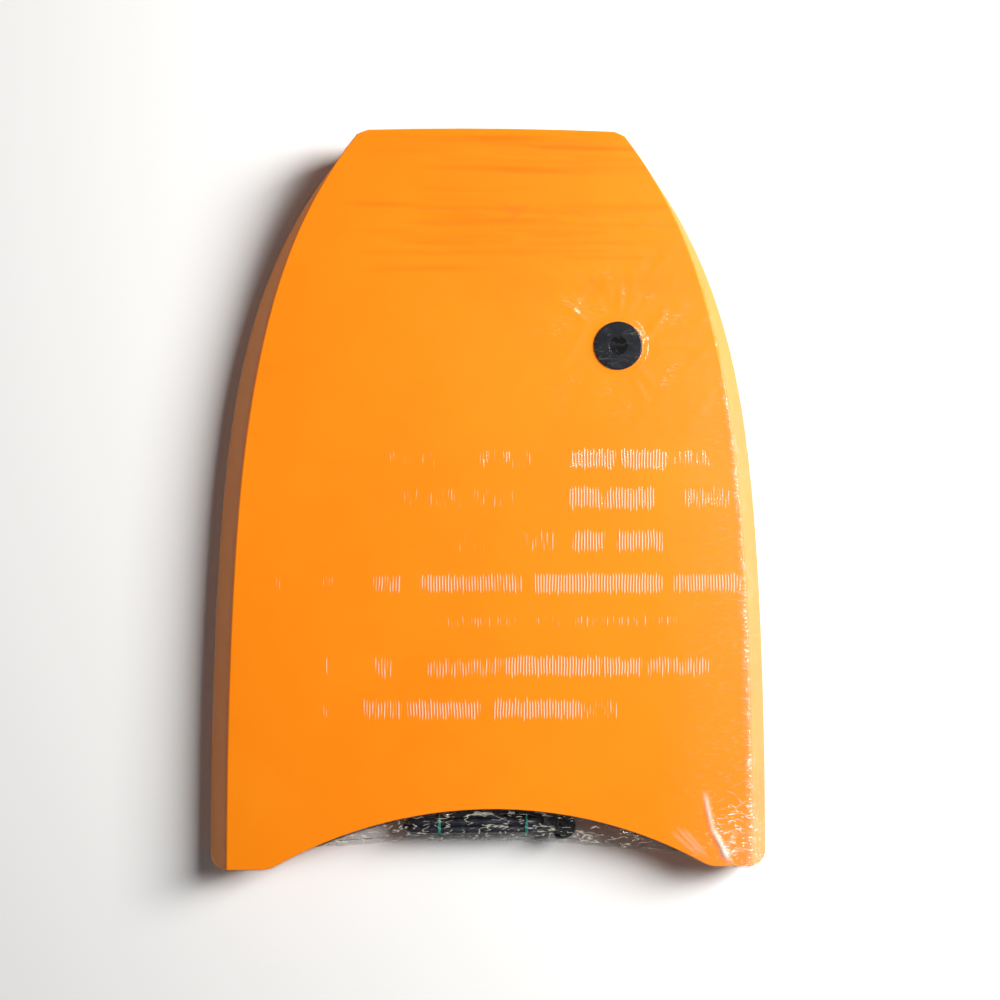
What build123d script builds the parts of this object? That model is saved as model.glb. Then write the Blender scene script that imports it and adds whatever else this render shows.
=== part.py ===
"""A child's bodyboard, shrink-wrapped with its leash, in millimetres.

+Y runs from the crescent tail to the nose, +X to the rider's right and +Z up out of the deck.
The origin is under the middle of the wrapped board, on the surface that it rests on.
The board is a sandwich: a bead-foam core between a foam deck sheet and a slick bottom sheet,
closed round the sides by foam strips. A two-part leash plug is screwed through it. The leash is
packed in the crescent of the tail, and shrink film, slit along a seam, wraps the lot.
"""
from build123d import *
import math
import os

os.makedirs("parts", exist_ok=True)

# ---- Driving dimensions ----
LENGTH = 660.0  # nose to tail tips
WIDTH = 508.0  # over the rails at the tail
THICKNESS = 50.0
RAIL_HEIGHT = 22.0  # the widest line of the rails, above the bottom
DECK_INSET = 18.0  # how far the deck's edge is inside the widest line
BOTTOM_INSET = 12.0  # how far the bottom's edge is inside it
NOSE_LIFT = 22.0
LIFT_START = 160.0  # the bottom is flat from the tail to here
FADE_START = 80.0  # from here the rails' bevels narrow towards the nose
FADE_LEFT = 0.03  # the share of them that is left past the nose
TAIL_DEPTH = 53.0  # of the crescent
TAIL_RADIUS = 397.0
SKIN = 4.0  # deck sheet and side strips
SLICK = 1.5  # bottom sheet
FILM_GAP = 0.4
FILM_WALL = 0.6
BOTTOM_Z = FILM_GAP + FILM_WALL  # the board's bottom stands on the film
DECK_Z = BOTTOM_Z + THICKNESS

# ---- Plan shape ----
TAIL_Y = -LENGTH / 2
NOSE_Y = LENGTH / 2
PLAN_BOW = 2.0  # the nose edge's own bow, over its width
NOSE_CORNER_RADIUS = 50.0
TAIL_CORNER_RADIUS = 10.0
TIP_RADIUS = 26.0  # where each tail tip rolls into the crescent
CLEAR = 0.3  # the plan's straight sides stay this far outside the rails
OVERRUN = 14.0  # the blank is longer than the plan by this at each end
STATIONS = 13
FLAT_TRIM = 0.2

# ---- Leash plug ----
PLUG_X, PLUG_Y = 115.0, 140.0
FLANGE_RADIUS = 21.75
FLANGE_THICKNESS = 2.2
CUP_RADIUS, CUP_DEPTH = 8.0, 14.0
STEM_RADIUS = 10.0  # the top half's threaded stem
BASE_BORE_RADIUS = 10.3
BASE_RADIUS = 13.0
BASE_TOP = 44.0  # above the board's bottom
BASE_FLANGE_THICKNESS = 2.5
BASE_SINK = 0.3  # the base's face is this far above the bottom's face
BAR_RADIUS, BAR_HALF_LENGTH = 1.3, 9.6
BAR_DROP = 3.6  # from the flange's face to the bar's axis
LOOSE = 0.3  # round the plug in the foam

# ---- Packed leash ----
CORD = 6.5
HANK_LEFT, HANK_RIGHT = -80.0, 50.0
HANK_LOW, HANK_HIGH = 1.4, 37.4
HANK_BACK, HANK_FRONT = -288.6, -301.8  # two turns side by side, 0.2 apart
SWIVEL_Y = -284.0  # the swivels lie between the hank and the board
CUFF_SWIVEL_X, CUFF_SWIVEL_Z = 17.0, 20.4
PLUG_SWIVEL_X, PLUG_SWIVEL_Z = -12.0, 34.15
FERRULE_RADIUS, FERRULE_LENGTH, SOCKET_DEPTH = 4.0, 9.0, 6.5
BARREL_RADIUS, BARREL_LENGTH, BARREL_WALL = 3.75, 13.0, 1.5
PIN_RADIUS, PIN_HEAD_RADIUS, PIN_HEAD_LENGTH = 1.1, 2.2, 1.5
RUNNING_GAP = 0.3  # round the swivels' pins
END_GAP = 0.6  # between a barrel and what is at each end of it
RING_RADIUS = 3.6  # the plug swivel's ring, to the middle of its wire
LINK_LENGTH, LINK_HEIGHT = 8.0, 15.0  # the cuff swivel's oblong link, likewise
STRING_RADIUS = 1.2
STRING_FAR = (-63.0, -285.6)  # middle of the string loop's far end
STRING_FAR_RADIUS = 1.6
CUFF_LEFT, CUFF_RIGHT = 52.0, 77.0
CUFF_Y, CUFF_DEPTH = -294.3, 22.6
FLAP_THICKNESS = 1.4
TAB_THICKNESS, TAB_HEIGHT = 0.8, 10.0
TAB_END = 58.0  # the tab's two layers are sewn together from near its loop to here
TIE_THICKNESS, TIE_WIDTH = 0.5, 2.4
TWIST_RADIUS, TWIST_LENGTH, TWIST_OUT = 0.8, 7.0, 1.5  # its twisted end, and how far that leans out
TIE_PLACES = {"twist_tie_left": -46.0, "twist_tie_right": 33.0}

# The cord leaves each ferrule and bends into the hank; a point's last value is its height.
CUFF_TAIL = [(CUFF_SWIVEL_X, SWIVEL_Y, CUFF_SWIVEL_Z), (5.0, -284.0, 21.6), (-10.0, -291.8, 25.6)]
PLUG_TAIL = [(PLUG_SWIVEL_X, SWIVEL_Y, PLUG_SWIVEL_Z), (0.0, -284.0, 34.15), (15.0, -291.85, 34.15)]

# ---- Film ----
POCKET_X, POCKET_Y = -30.0, -305.2  # the crown of the film drawn tight behind the packed leash
POCKET_RADIUS = 1400.0
POCKET_LEFT_ANGLE, POCKET_RIGHT_ANGLE = 7.2, 9.2  # from its crown to its ends, inside the tail
POCKET_RIM_Z = 43.5  # where the sheet over the leash turns down
POCKET_TOP_Y = -262.0  # where that sheet leaves the level of the deck
POCKET_INSIDE_Y = -240.0
POCKET_CORNER = 3.0
BUMP_SKIRT = 8.0  # how far the film stands off round the plug's flange


def save(shape, name):
    export_step(shape, f"parts/{name}.step")


# ---- The board's outer shape ----
def rail_half_width(y):
    """Half the width over the rails: nearly parallel at the tail, drawn in to the nose."""
    along = (y - TAIL_Y) / LENGTH
    return WIDTH / 2 - 40.0 * along**2 - 98.0 * along**6


def lift(y):
    """How far the nose is bent up."""
    along = max(0.0, (y - LIFT_START) / (NOSE_Y - LIFT_START))
    return NOSE_LIFT * along**2


def bevel_share(y):
    """The bevels of the rails fade towards the nose."""
    along = max(0.0, (y - FADE_START) / (NOSE_Y + OVERRUN - FADE_START))
    return 1.0 - (1.0 - FADE_LEFT) * along**2


def crossing(normal_a, reach_a, normal_b, reach_b):
    """Where two lines cross, each given as its outward normal and its distance from zero."""
    (ax, az), (bx, bz) = normal_a, normal_b
    det = ax * bz - az * bx
    return ((reach_a * bz - reach_b * az) / det, (ax * reach_b - bx * reach_a) / det)


def section(y, sides, caps):
    """The six-sided cross-section at y, its bevels moved out by sides, top and bottom by caps.

    The bottom is made FLAT_TRIM too low, for blank() to cut the flat stretch to a true plane.
    """
    half, share = rail_half_width(y), bevel_share(y)
    rail, floor = (half, RAIL_HEIGHT), (half - BOTTOM_INSET * share, 0.0)
    deck = (half - DECK_INSET * share, THICKNESS)

    def outward(low, high):
        dx, dz = high[0] - low[0], high[1] - low[1]
        size = math.hypot(dx, dz)
        return dz / size, -dx / size

    upper, lower = outward(rail, deck), outward(floor, rail)
    upper_reach = upper[0] * rail[0] + upper[1] * rail[1] + sides
    lower_reach = lower[0] * rail[0] + lower[1] * rail[1] + sides
    top, bottom = (0.0, 1.0), (0.0, -1.0)
    side = [
        crossing(lower, lower_reach, bottom, caps + FLAT_TRIM),
        crossing(upper, upper_reach, lower, lower_reach),
        crossing(upper, upper_reach, top, THICKNESS + caps),
    ]
    ring = side + [(-x, z) for x, z in reversed(side)]
    raised = BOTTOM_Z + lift(y)
    return make_face(Polyline([(x, y, z + raised) for x, z in ring], close=True))


def plan(grow):
    """The outline seen from above, grown by grow: nose corners, tail corners and crescent."""
    half = rail_half_width(NOSE_Y)
    slope = rail_half_width(NOSE_Y - 1) - half  # how fast the rails spread behind the nose
    wide = WIDTH / 2 + CLEAR + grow
    nose, tail = NOSE_Y + grow, TAIL_Y - grow
    corner = half + CLEAR + grow * (math.hypot(1, slope) - slope)
    shoulder = nose - (wide - corner) / slope
    right = [(wide, tail), (wide, shoulder), (corner, nose)]
    left = [(-x, y) for x, y in reversed(right)]
    outline = make_face(Polyline(right + left, close=True))
    by_y = outline.vertices().group_by(Axis.Y)
    outline = fillet(by_y[-1], NOSE_CORNER_RADIUS + grow)
    outline = fillet(outline.vertices().group_by(Axis.Y)[0], TAIL_CORNER_RADIUS + grow)
    bow_radius = half**2 / (2 * PLAN_BOW)
    outline &= Pos(0, nose - bow_radius) * Circle(bow_radius)
    outline -= Pos(0, TAIL_Y + TAIL_DEPTH - TAIL_RADIUS) * Circle(TAIL_RADIUS - grow)
    tips = outline.vertices().filter_by(
        lambda v: abs(v.Y - tail) < 0.01 and abs(v.X) < WIDTH / 2 - 2 * TAIL_CORNER_RADIUS
    )
    return fillet(tips, TIP_RADIUS + grow)


def blank(sides, caps, grow):
    """The board's shape with its bevels moved out by sides, its faces by caps and its plan by grow."""
    start, end = TAIL_Y - OVERRUN, NOSE_Y + OVERRUN
    places = [start + (end - start) * i / (STATIONS - 1) for i in range(STATIONS)]
    long = loft([section(y, sides, caps) for y in places])
    trim = extrude(Pos(0, 0, BOTTOM_Z - caps) * plan(grow), THICKNESS + NOSE_LIFT + 3 * OVERRUN)
    return long & trim


def above(height):
    """Everything above a surface that follows the bottom at this height."""
    half, roof = WIDTH, THICKNESS + NOSE_LIFT + 3 * OVERRUN
    start, end = TAIL_Y - 2 * OVERRUN, NOSE_Y + 2 * OVERRUN
    bend = [LIFT_START + (end - LIFT_START) * i / 6 for i in range(7)]
    points = [(0, y, BOTTOM_Z + height + lift(y)) for y in bend]
    end_slope = 2 * NOSE_LIFT * (end - LIFT_START) / (NOSE_Y - LIFT_START) ** 2
    curve = Spline(points, tangents=[(0, 1, 0), (0, 1, end_slope)])
    flat = Line((0, start, BOTTOM_Z + height), points[0])
    back = Polyline([points[-1], (0, end, roof), (0, start, roof), (0, start, BOTTOM_Z + height)])
    side = make_face(Curve() + [flat, curve, back])
    return extrude(side, half, dir=(1, 0, 0), both=True)


def slab(low_y, high_y, half_x):
    """A tall box between two places along the board."""
    middle = (low_y + high_y) / 2
    return Pos(0, middle, THICKNESS) * Box(2 * half_x, high_y - low_y, 8 * THICKNESS)


def disc(radius, low, high):
    """A plain cylinder on the leash plug's axis, between two heights above the board's bottom."""
    return Pos(PLUG_X, PLUG_Y, BOTTOM_Z + (low + high) / 2) * Cylinder(radius, high - low)


# ---- Board ----
def make_board():
    whole = blank(0, 0, 0)
    over_slick, over_core = above(SLICK), above(THICKNESS - SKIN)
    slick = whole - over_slick
    deck = whole & over_core
    middle = (whole & over_slick) - over_core
    core = middle & blank(-SKIN, 4.0, -SKIN)
    band = middle - core

    # Leash plug seat: a dish pressed into the slick, and holes through the sandwich.
    seat_top = BASE_SINK + BASE_FLANGE_THICKNESS
    seat_radius = FLANGE_RADIUS + 0.5
    slick += disc(seat_radius + SLICK, SLICK / 2, seat_top + SLICK)
    slick -= disc(seat_radius, -5, seat_top)
    slick -= disc(BASE_RADIUS + LOOSE, -5, THICKNESS)
    core -= disc(seat_radius + SLICK, -5, seat_top + SLICK)
    core -= disc(BASE_RADIUS + LOOSE, -5, THICKNESS)
    deck -= disc(STEM_RADIUS + LOOSE, -5, 2 * THICKNESS)
    deck -= disc(FLANGE_RADIUS, THICKNESS, 2 * THICKNESS)

    nose_end = slab(NOSE_Y - 25, NOSE_Y + 25, rail_half_width(NOSE_Y) - 14)
    tail_end = slab(TAIL_Y - 20, TAIL_Y + 80, WIDTH / 2 - 26)
    sides = band - nose_end - tail_end
    right_half = Pos(WIDTH, 0, THICKNESS) * Box(2 * WIDTH, 4 * LENGTH, 8 * THICKNESS)
    save(core, "foam_core")
    save(deck, "deck_skin")
    save(slick, "slick_bottom")
    save(band & nose_end, "nose_strip")
    save(band & tail_end, "tail_strip")
    save(sides & right_half, "rail_strip_right")
    save(sides - right_half, "rail_strip_left")


# ---- Leash plug ----
def make_plug():
    face = THICKNESS + FLANGE_THICKNESS
    flange = disc(FLANGE_RADIUS, THICKNESS, face)
    flange = fillet(flange.edges().group_by(Axis.Z)[-1], 1.3)
    top = flange + disc(STEM_RADIUS, BASE_FLANGE_THICKNESS + 8, THICKNESS)
    top -= disc(CUP_RADIUS, face - CUP_DEPTH, face + 5)
    mouth = top.edges().filter_by(GeomType.CIRCLE).filter_by(
        lambda e: abs(e.radius - CUP_RADIUS) < 0.01 and e.center().Z > DECK_Z + 1
    )
    top = fillet(mouth, 0.7)
    bar_z = BOTTOM_Z + face - BAR_DROP
    bar = Pos(PLUG_X, PLUG_Y, bar_z) * Rot(0, 90, 0) * Cylinder(BAR_RADIUS, 2 * BAR_HALF_LENGTH)
    save(top - bar, "plug_top")
    save(bar, "plug_crossbar")

    base_flange = disc(FLANGE_RADIUS, BASE_SINK, BASE_SINK + BASE_FLANGE_THICKNESS)
    base_flange = fillet(base_flange.edges().group_by(Axis.Z)[0], 1.2)
    base = base_flange + disc(BASE_RADIUS, BASE_SINK + BASE_FLANGE_THICKNESS, BASE_TOP)
    base -= disc(BASE_BORE_RADIUS, BASE_SINK + BASE_FLANGE_THICKNESS, BASE_TOP + 5)
    coin_slot = Pos(PLUG_X, PLUG_Y, BOTTOM_Z) * Box(26, 3, 3)
    save(base - coin_slot, "plug_base")


# ---- Packed leash ----
def tube(points):
    """The cord along straight runs and tangent arcs, each arc as large as its runs allow."""
    places = [Vector(*point) for point in points]
    runs = [after - before for before, after in zip(places, places[1:])]
    radii = []
    for one, two in zip(runs, runs[1:]):
        shorter = min(one.length, two.length)
        radii.append(0.45 * shorter / math.tan(math.radians(one.get_angle(two) / 2)))
    print("cord radii", [round(radius, 1) for radius in radii])
    path = FilletPolyline(*places, radius=radii)
    return sweep(Plane(path @ 0, z_dir=path % 0) * Circle(CORD / 2), path)


def lathe(profile):
    """A turned piece about the X axis, from (x, radius) points."""
    return revolve(make_face(Polyline([(x, radius, 0) for x, radius in profile], close=True)), Axis.X)


def swivel_pin(start, end, head_at):
    """A pin along X with a head inside the barrel."""
    low, high = sorted((start, end))
    head = (head_at - PIN_HEAD_LENGTH / 2, head_at + PIN_HEAD_LENGTH / 2)
    shaft = lathe([(low, 0), (low, PIN_RADIUS), (high, PIN_RADIUS), (high, 0)])
    return shaft + lathe([(head[0], 0), (head[0], PIN_HEAD_RADIUS), (head[1], PIN_HEAD_RADIUS), (head[1], 0)])


def make_swivel(name, place, link):
    """A ferrule on the cord's end, a barrel that spins, and a steel pin with a ring or link."""
    barrel_start = FERRULE_LENGTH + END_GAP
    barrel_end = barrel_start + BARREL_LENGTH
    inner_start, inner_end = barrel_start + BARREL_WALL, barrel_end - BARREL_WALL
    neck, bore = PIN_RADIUS + RUNNING_GAP, PIN_HEAD_RADIUS + RUNNING_GAP
    edge = 0.6
    barrel = lathe(
        [
            (barrel_start, neck),
            (barrel_start, BARREL_RADIUS - edge),
            (barrel_start + edge, BARREL_RADIUS),
            (barrel_end - edge, BARREL_RADIUS),
            (barrel_end, BARREL_RADIUS - edge),
            (barrel_end, neck),
            (inner_end, neck),
            (inner_end, bore),
            (inner_start, bore),
            (inner_start, neck),
        ]
    )
    ferrule = lathe(
        [
            (0, CORD / 2),
            (0, FERRULE_RADIUS),
            (FERRULE_LENGTH - edge, FERRULE_RADIUS),
            (FERRULE_LENGTH, FERRULE_RADIUS - edge),
            (FERRULE_LENGTH, 0),
            (SOCKET_DEPTH, 0),
            (SOCKET_DEPTH, CORD / 2),
        ]
    )
    head_room = PIN_HEAD_LENGTH / 2 + RUNNING_GAP
    ferrule += swivel_pin(FERRULE_LENGTH - 1, inner_start + head_room, inner_start + head_room)
    eye_start = barrel_end + END_GAP + PIN_RADIUS
    eye = swivel_pin(inner_end - head_room, eye_start, inner_end - head_room) + Pos(eye_start, 0) * link
    save(place * ferrule, f"{name}_ferrule")
    save(place * barrel, f"{name}_swivel_barrel")
    save(place * eye, f"{name}_swivel_eye")
    return eye_start


def make_hank():
    shape = Pos((HANK_LEFT + HANK_RIGHT) / 2, (HANK_LOW + HANK_HIGH) / 2) * SlotOverall(
        HANK_RIGHT - HANK_LEFT, HANK_HIGH - HANK_LOW
    )
    hank = extrude(Plane.XZ.offset(-HANK_BACK) * shape, HANK_BACK - HANK_FRONT)
    save(hank, "leash_hank")
    for name, x in TIE_PLACES.items():
        middle = Pos(x, (HANK_BACK + HANK_FRONT) / 2, (HANK_LOW + HANK_HIGH) / 2)
        depth, height = HANK_BACK - HANK_FRONT, HANK_HIGH - HANK_LOW
        ring = middle * Box(TIE_WIDTH, depth + 2 * TIE_THICKNESS, height + 2 * TIE_THICKNESS)
        lying = Pos(x, HANK_BACK + TWIST_OUT, HANK_HIGH + TWIST_RADIUS) * Rot(90, 0, 0)
        twist = lying * Cylinder(TWIST_RADIUS, TWIST_LENGTH)
        save(ring + twist - middle * Box(2 * TIE_WIDTH, depth, height), name)
    return hank


def make_tail(points, out, hank, name):
    """The cord's free end: from the bottom of a ferrule's socket until it joins the hank."""
    inside = (points[0][0] + out * SOCKET_DEPTH, points[0][1], points[0][2])
    along_socket = Pos((inside[0] + points[0][0]) / 2, inside[1], inside[2]) * Rot(0, 90, 0)
    stub = along_socket * Cylinder(CORD / 2, SOCKET_DEPTH)
    free = stub + tube(points) - hank
    save(free.solids().sort_by(SortBy.VOLUME)[-1], name)


def make_cuff(eye_start):
    """The wrist strap, rolled up with its hook end outside, and the webbing tab of its swivel."""
    middle = Pos((CUFF_LEFT + CUFF_RIGHT) / 2, CUFF_Y, HANK_LOW)
    length, height = CUFF_RIGHT - CUFF_LEFT, HANK_HIGH - HANK_LOW
    roll = middle * extrude(SlotOverall(length, CUFF_DEPTH), height)
    around = SlotOverall(length + 2 * FLAP_THICKNESS, CUFF_DEPTH + 2 * FLAP_THICKNESS)
    outer = middle * extrude(around, height)
    reach = middle * Pos(length / 2, -CUFF_DEPTH / 2, height / 2) * Box(length * 1.4, CUFF_DEPTH, height - 2)
    far_bar = CUFF_SWIVEL_X + eye_start + LINK_LENGTH
    half_slot = PIN_RADIUS + 0.15
    half_tab = half_slot + TAB_THICKNESS
    bar = Pos(far_bar, SWIVEL_Y, CUFF_SWIVEL_Z - TAB_HEIGHT / 2)
    tab = Circle(half_tab) + Pos((TAB_END - far_bar) / 2, 0) * Rectangle(TAB_END - far_bar, 2 * half_tab)
    tab = bar * extrude(tab - SlotCenterPoint((1, 0), (2, 0), 2 * half_slot), TAB_HEIGHT) - roll
    save(roll, "cuff_roll")
    save((outer - roll) & reach, "cuff_hook_flap")
    save(tab, "cuff_tab")


def make_leash():
    hank = make_hank()
    ring = Pos(RING_RADIUS, 0) * Rot(90, 0, 0) * Torus(RING_RADIUS, PIN_RADIUS)
    link_path = Plane.XZ * Pos(LINK_LENGTH / 2, 0) * RectangleRounded(LINK_LENGTH, LINK_HEIGHT, 2.6)
    link_wire = link_path.face().outer_wire()
    link = sweep(Plane(link_wire @ 0, z_dir=link_wire % 0) * Circle(PIN_RADIUS), link_wire)
    eye_start = make_swivel("cuff", Pos(CUFF_SWIVEL_X, SWIVEL_Y, CUFF_SWIVEL_Z), link)
    make_swivel("plug", Pos(PLUG_SWIVEL_X, SWIVEL_Y, PLUG_SWIVEL_Z) * Rot(0, 0, 180), ring)
    make_tail(CUFF_TAIL, 1, hank, "cord_to_cuff")
    make_tail(PLUG_TAIL, -1, hank, "cord_to_plug")
    make_cuff(eye_start)
    make_string_loop((PLUG_SWIVEL_X - eye_start - 2 * RING_RADIUS, SWIVEL_Y))


def make_string_loop(near):
    """The string that ties to the plug's bar, looped round the far wire of the ring at near."""
    near_radius = PIN_RADIUS + STRING_RADIUS + 0.1
    dx, dy = STRING_FAR[0] - near[0], STRING_FAR[1] - near[1]
    heading = math.atan2(dy, dx)
    spread = math.acos((near_radius - STRING_FAR_RADIUS) / math.hypot(dx, dy))

    def on_circle(middle, radius, angle):
        return (middle[0] + radius * math.cos(angle), middle[1] + radius * math.sin(angle), PLUG_SWIVEL_Z)

    near_left = on_circle(near, near_radius, heading + spread)
    near_right = on_circle(near, near_radius, heading - spread)
    far_left = on_circle(STRING_FAR, STRING_FAR_RADIUS, heading + spread)
    far_right = on_circle(STRING_FAR, STRING_FAR_RADIUS, heading - spread)
    loop = Wire(
        [
            Line(near_left, far_left),
            ThreePointArc(far_left, on_circle(STRING_FAR, STRING_FAR_RADIUS, heading), far_right),
            Line(far_right, near_right),
            ThreePointArc(near_right, on_circle(near, near_radius, heading + math.pi), near_left),
        ]
    )
    save(sweep(Plane(loop @ 0, z_dir=loop % 0) * Circle(STRING_RADIUS), loop), "plug_string_loop")


# ---- Film ----
def wrapped(grow):
    """The board, its plug and the packed leash as one lump, with grow added all round."""
    body = blank(grow, grow, grow)
    low, high = BOTTOM_Z - grow, DECK_Z + grow
    back = POCKET_Y - grow
    profile = Polyline(
        [
            (POCKET_X, POCKET_INSIDE_Y, low),
            (POCKET_X, back, low),
            (POCKET_X, back, POCKET_RIM_Z + grow),
            (POCKET_X, POCKET_TOP_Y, high),
            (POCKET_X, POCKET_INSIDE_Y, high),
        ],
        close=True,
    )
    profile = make_face(profile)
    rim = profile.vertices().filter_by(lambda v: abs(v.Y - back) < 0.01)
    profile = fillet(rim, POCKET_CORNER + grow)
    turn = Axis((POCKET_X, POCKET_Y - POCKET_RADIUS, 0), (0, 0, 1))
    right_end = profile.rotate(turn, -POCKET_RIGHT_ANGLE)
    pocket = revolve(right_end, turn, POCKET_LEFT_ANGLE + POCKET_RIGHT_ANGLE)
    face = THICKNESS + FLANGE_THICKNESS + grow
    cone_low = THICKNESS - 1
    cone = Cone(FLANGE_RADIUS + BUMP_SKIRT + grow, FLANGE_RADIUS + 0.2 + grow, face - cone_low)
    bump = Pos(PLUG_X, PLUG_Y, BOTTOM_Z + (face + cone_low) / 2) * cone
    return body + pocket + bump


def make_film():
    film = wrapped(FILM_GAP + FILM_WALL) - wrapped(FILM_GAP)
    over_seam = above(RAIL_HEIGHT)
    save(film & over_seam, "film_upper")
    save(film - over_seam, "film_lower")


make_board()
make_plug()
make_leash()
make_film()
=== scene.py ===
import math
import random

import bpy
import numpy as np
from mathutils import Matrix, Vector, noise


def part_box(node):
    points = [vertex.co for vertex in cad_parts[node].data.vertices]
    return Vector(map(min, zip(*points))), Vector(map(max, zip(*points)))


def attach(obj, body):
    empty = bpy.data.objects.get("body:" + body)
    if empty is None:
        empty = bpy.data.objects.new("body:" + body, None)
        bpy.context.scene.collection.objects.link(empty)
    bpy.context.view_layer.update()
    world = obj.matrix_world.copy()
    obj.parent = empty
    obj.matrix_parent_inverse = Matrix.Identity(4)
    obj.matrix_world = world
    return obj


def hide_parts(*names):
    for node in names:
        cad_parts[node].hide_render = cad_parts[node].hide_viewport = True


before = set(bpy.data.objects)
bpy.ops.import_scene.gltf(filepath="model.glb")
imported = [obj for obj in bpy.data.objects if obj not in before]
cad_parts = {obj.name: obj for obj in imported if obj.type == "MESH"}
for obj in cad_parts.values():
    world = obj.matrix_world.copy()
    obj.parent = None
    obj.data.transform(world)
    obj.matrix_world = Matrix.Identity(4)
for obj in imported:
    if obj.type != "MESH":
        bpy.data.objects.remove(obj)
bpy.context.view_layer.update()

MM = 0.001

# ---- Sizes taken from the frame ----
deck_low, deck_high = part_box("deck_skin")
plug_low, plug_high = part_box("plug_top")
hank_low, hank_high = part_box("leash_hank")
roll_low, roll_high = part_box("cuff_roll")
film_low, film_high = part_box("film_upper")
plug_x, plug_y = (plug_low.x + plug_high.x) / 2, (plug_low.y + plug_high.y) / 2
plug_radius = (plug_high.x - plug_low.x) / 2
nose_y, tail_y = deck_high.y, deck_low.y
FLANGE_OUT = 2.2 * MM  # how far the plug's flange stands out of the deck
deck_z = plug_high.z - FLANGE_OUT


# ---- Scene ----
def make_stage():
    bpy.ops.object.select_all(action="DESELECT")
    bpy.ops.mesh.primitive_plane_add(size=8, location=(0, 0, -0.0005))
    floor = bpy.context.object
    floor.name = "floor"
    paint = bpy.data.materials.new("floor_paint")
    paint.use_nodes = True
    shader = paint.node_tree.nodes["Principled BSDF"]
    shader.inputs["Base Color"].default_value = (0.9, 0.9, 0.9, 1)
    shader.inputs["Roughness"].default_value = 0.9
    floor.data.materials.append(paint)

    world = bpy.data.worlds.new("studio")
    bpy.context.scene.world = world
    world.use_nodes = True
    nodes, links = world.node_tree.nodes, world.node_tree.links
    sky = nodes["Background"]
    sky.label = "Studio walls and dark ceiling"
    direction = nodes.new("ShaderNodeTexCoord")
    direction.label, direction.location = "Direction", (-900, 0)
    height = nodes.new("ShaderNodeSeparateXYZ")
    height.label, height.location = "How high it looks", (-700, 0)
    brightness = nodes.new("ShaderNodeMapRange")
    brightness.label, brightness.location = "Walls bright, ceiling dark", (-450, 0)
    brightness.interpolation_type = "SMOOTHSTEP"
    brightness.inputs["From Min"].default_value = 0.35
    brightness.inputs["From Max"].default_value = 0.95
    brightness.inputs["To Min"].default_value = 0.17
    brightness.inputs["To Max"].default_value = 0.04
    links.new(direction.outputs["Generated"], height.inputs["Vector"])
    links.new(height.outputs["Z"], brightness.inputs["Value"])
    links.new(brightness.outputs["Result"], sky.inputs["Strength"])
    sky.inputs["Color"].default_value = (0.95, 0.97, 1.0, 1)
    bpy.context.scene.view_settings.view_transform = "Standard"


def add_softbox(name, place, target, size, power, colour):
    light = bpy.data.lights.new(name, "AREA")
    light.shape = "RECTANGLE"
    light.size, light.size_y = size
    light.energy = power
    light.color = colour
    lamp = bpy.data.objects.new(name, light)
    bpy.context.scene.collection.objects.link(lamp)
    lamp.location = place
    lamp.rotation_euler = (Vector(target) - Vector(place)).to_track_quat("-Z", "Y").to_euler()


def make_camera():
    """Straight above the deck, nose up, and rolled a little so that the left side is nearer."""
    distance, lean = 1.45, math.radians(2.0)
    target = Vector((0.0085, 0.001, deck_z))
    lens = bpy.data.cameras.new("camera")
    lens.sensor_width = 36
    lens.lens = 58.1
    camera = bpy.data.objects.new("camera", lens)
    bpy.context.scene.collection.objects.link(camera)
    camera.location = target + distance * Vector((-math.sin(lean), 0, math.cos(lean)))
    camera.rotation_euler = (0, -lean, 0)
    bpy.context.scene.camera = camera


# ---- Modelling ----
def open_for_editing(piece):
    bpy.ops.object.select_all(action="DESELECT")
    piece.select_set(True)
    bpy.context.view_layer.objects.active = piece
    bpy.ops.object.mode_set(mode="EDIT")
    bpy.ops.mesh.select_all(action="SELECT")


def close_editing():
    bpy.ops.object.mode_set(mode="OBJECT")


def select_faces(piece, wanted):
    """Leaves the piece open for editing with just the faces selected for which wanted(face) is true."""
    open_for_editing(piece)
    bpy.ops.mesh.select_mode(type="FACE")
    bpy.ops.mesh.select_all(action="DESELECT")
    close_editing()
    for face in piece.data.polygons:
        face.select = wanted(face)
    bpy.ops.object.mode_set(mode="EDIT")


def apply_modifier(piece, kind, **settings):
    bpy.ops.object.select_all(action="DESELECT")
    piece.select_set(True)
    bpy.context.view_layer.objects.active = piece
    modifier = piece.modifiers.new(kind.lower(), kind)
    for name, value in settings.items():
        setattr(modifier, name, value)
    bpy.ops.object.modifier_apply(modifier=modifier.name)


def smooth(piece, angle=35):
    bpy.ops.object.select_all(action="DESELECT")
    piece.select_set(True)
    bpy.context.view_layer.objects.active = piece
    bpy.ops.object.shade_smooth_by_angle(angle=math.radians(angle))


def traced(node, name):
    """A piece that starts with a CAD node's shape, its triangles merged and its flats made single faces."""
    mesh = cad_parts[node].data.copy()
    mesh.materials.clear()
    piece = bpy.data.objects.new(name, mesh)
    bpy.context.scene.collection.objects.link(piece)
    open_for_editing(piece)
    bpy.ops.mesh.customdata_custom_splitnormals_clear()
    bpy.ops.mesh.remove_doubles(threshold=0.002 * MM)
    bpy.ops.mesh.dissolve_limited(angle_limit=math.radians(0.3))
    close_editing()
    return piece


def cut_across(piece, axis, places):
    """Cuts the whole piece at each of these places along an axis, for its surface to have rows."""
    open_for_editing(piece)
    normal = [0, 0, 0]
    normal["xyz".index(axis)] = 1
    for place in places:
        point = [place * part for part in normal]
        bpy.ops.mesh.select_all(action="SELECT")
        bpy.ops.mesh.bisect(plane_co=point, plane_no=normal)
    close_editing()


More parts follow.
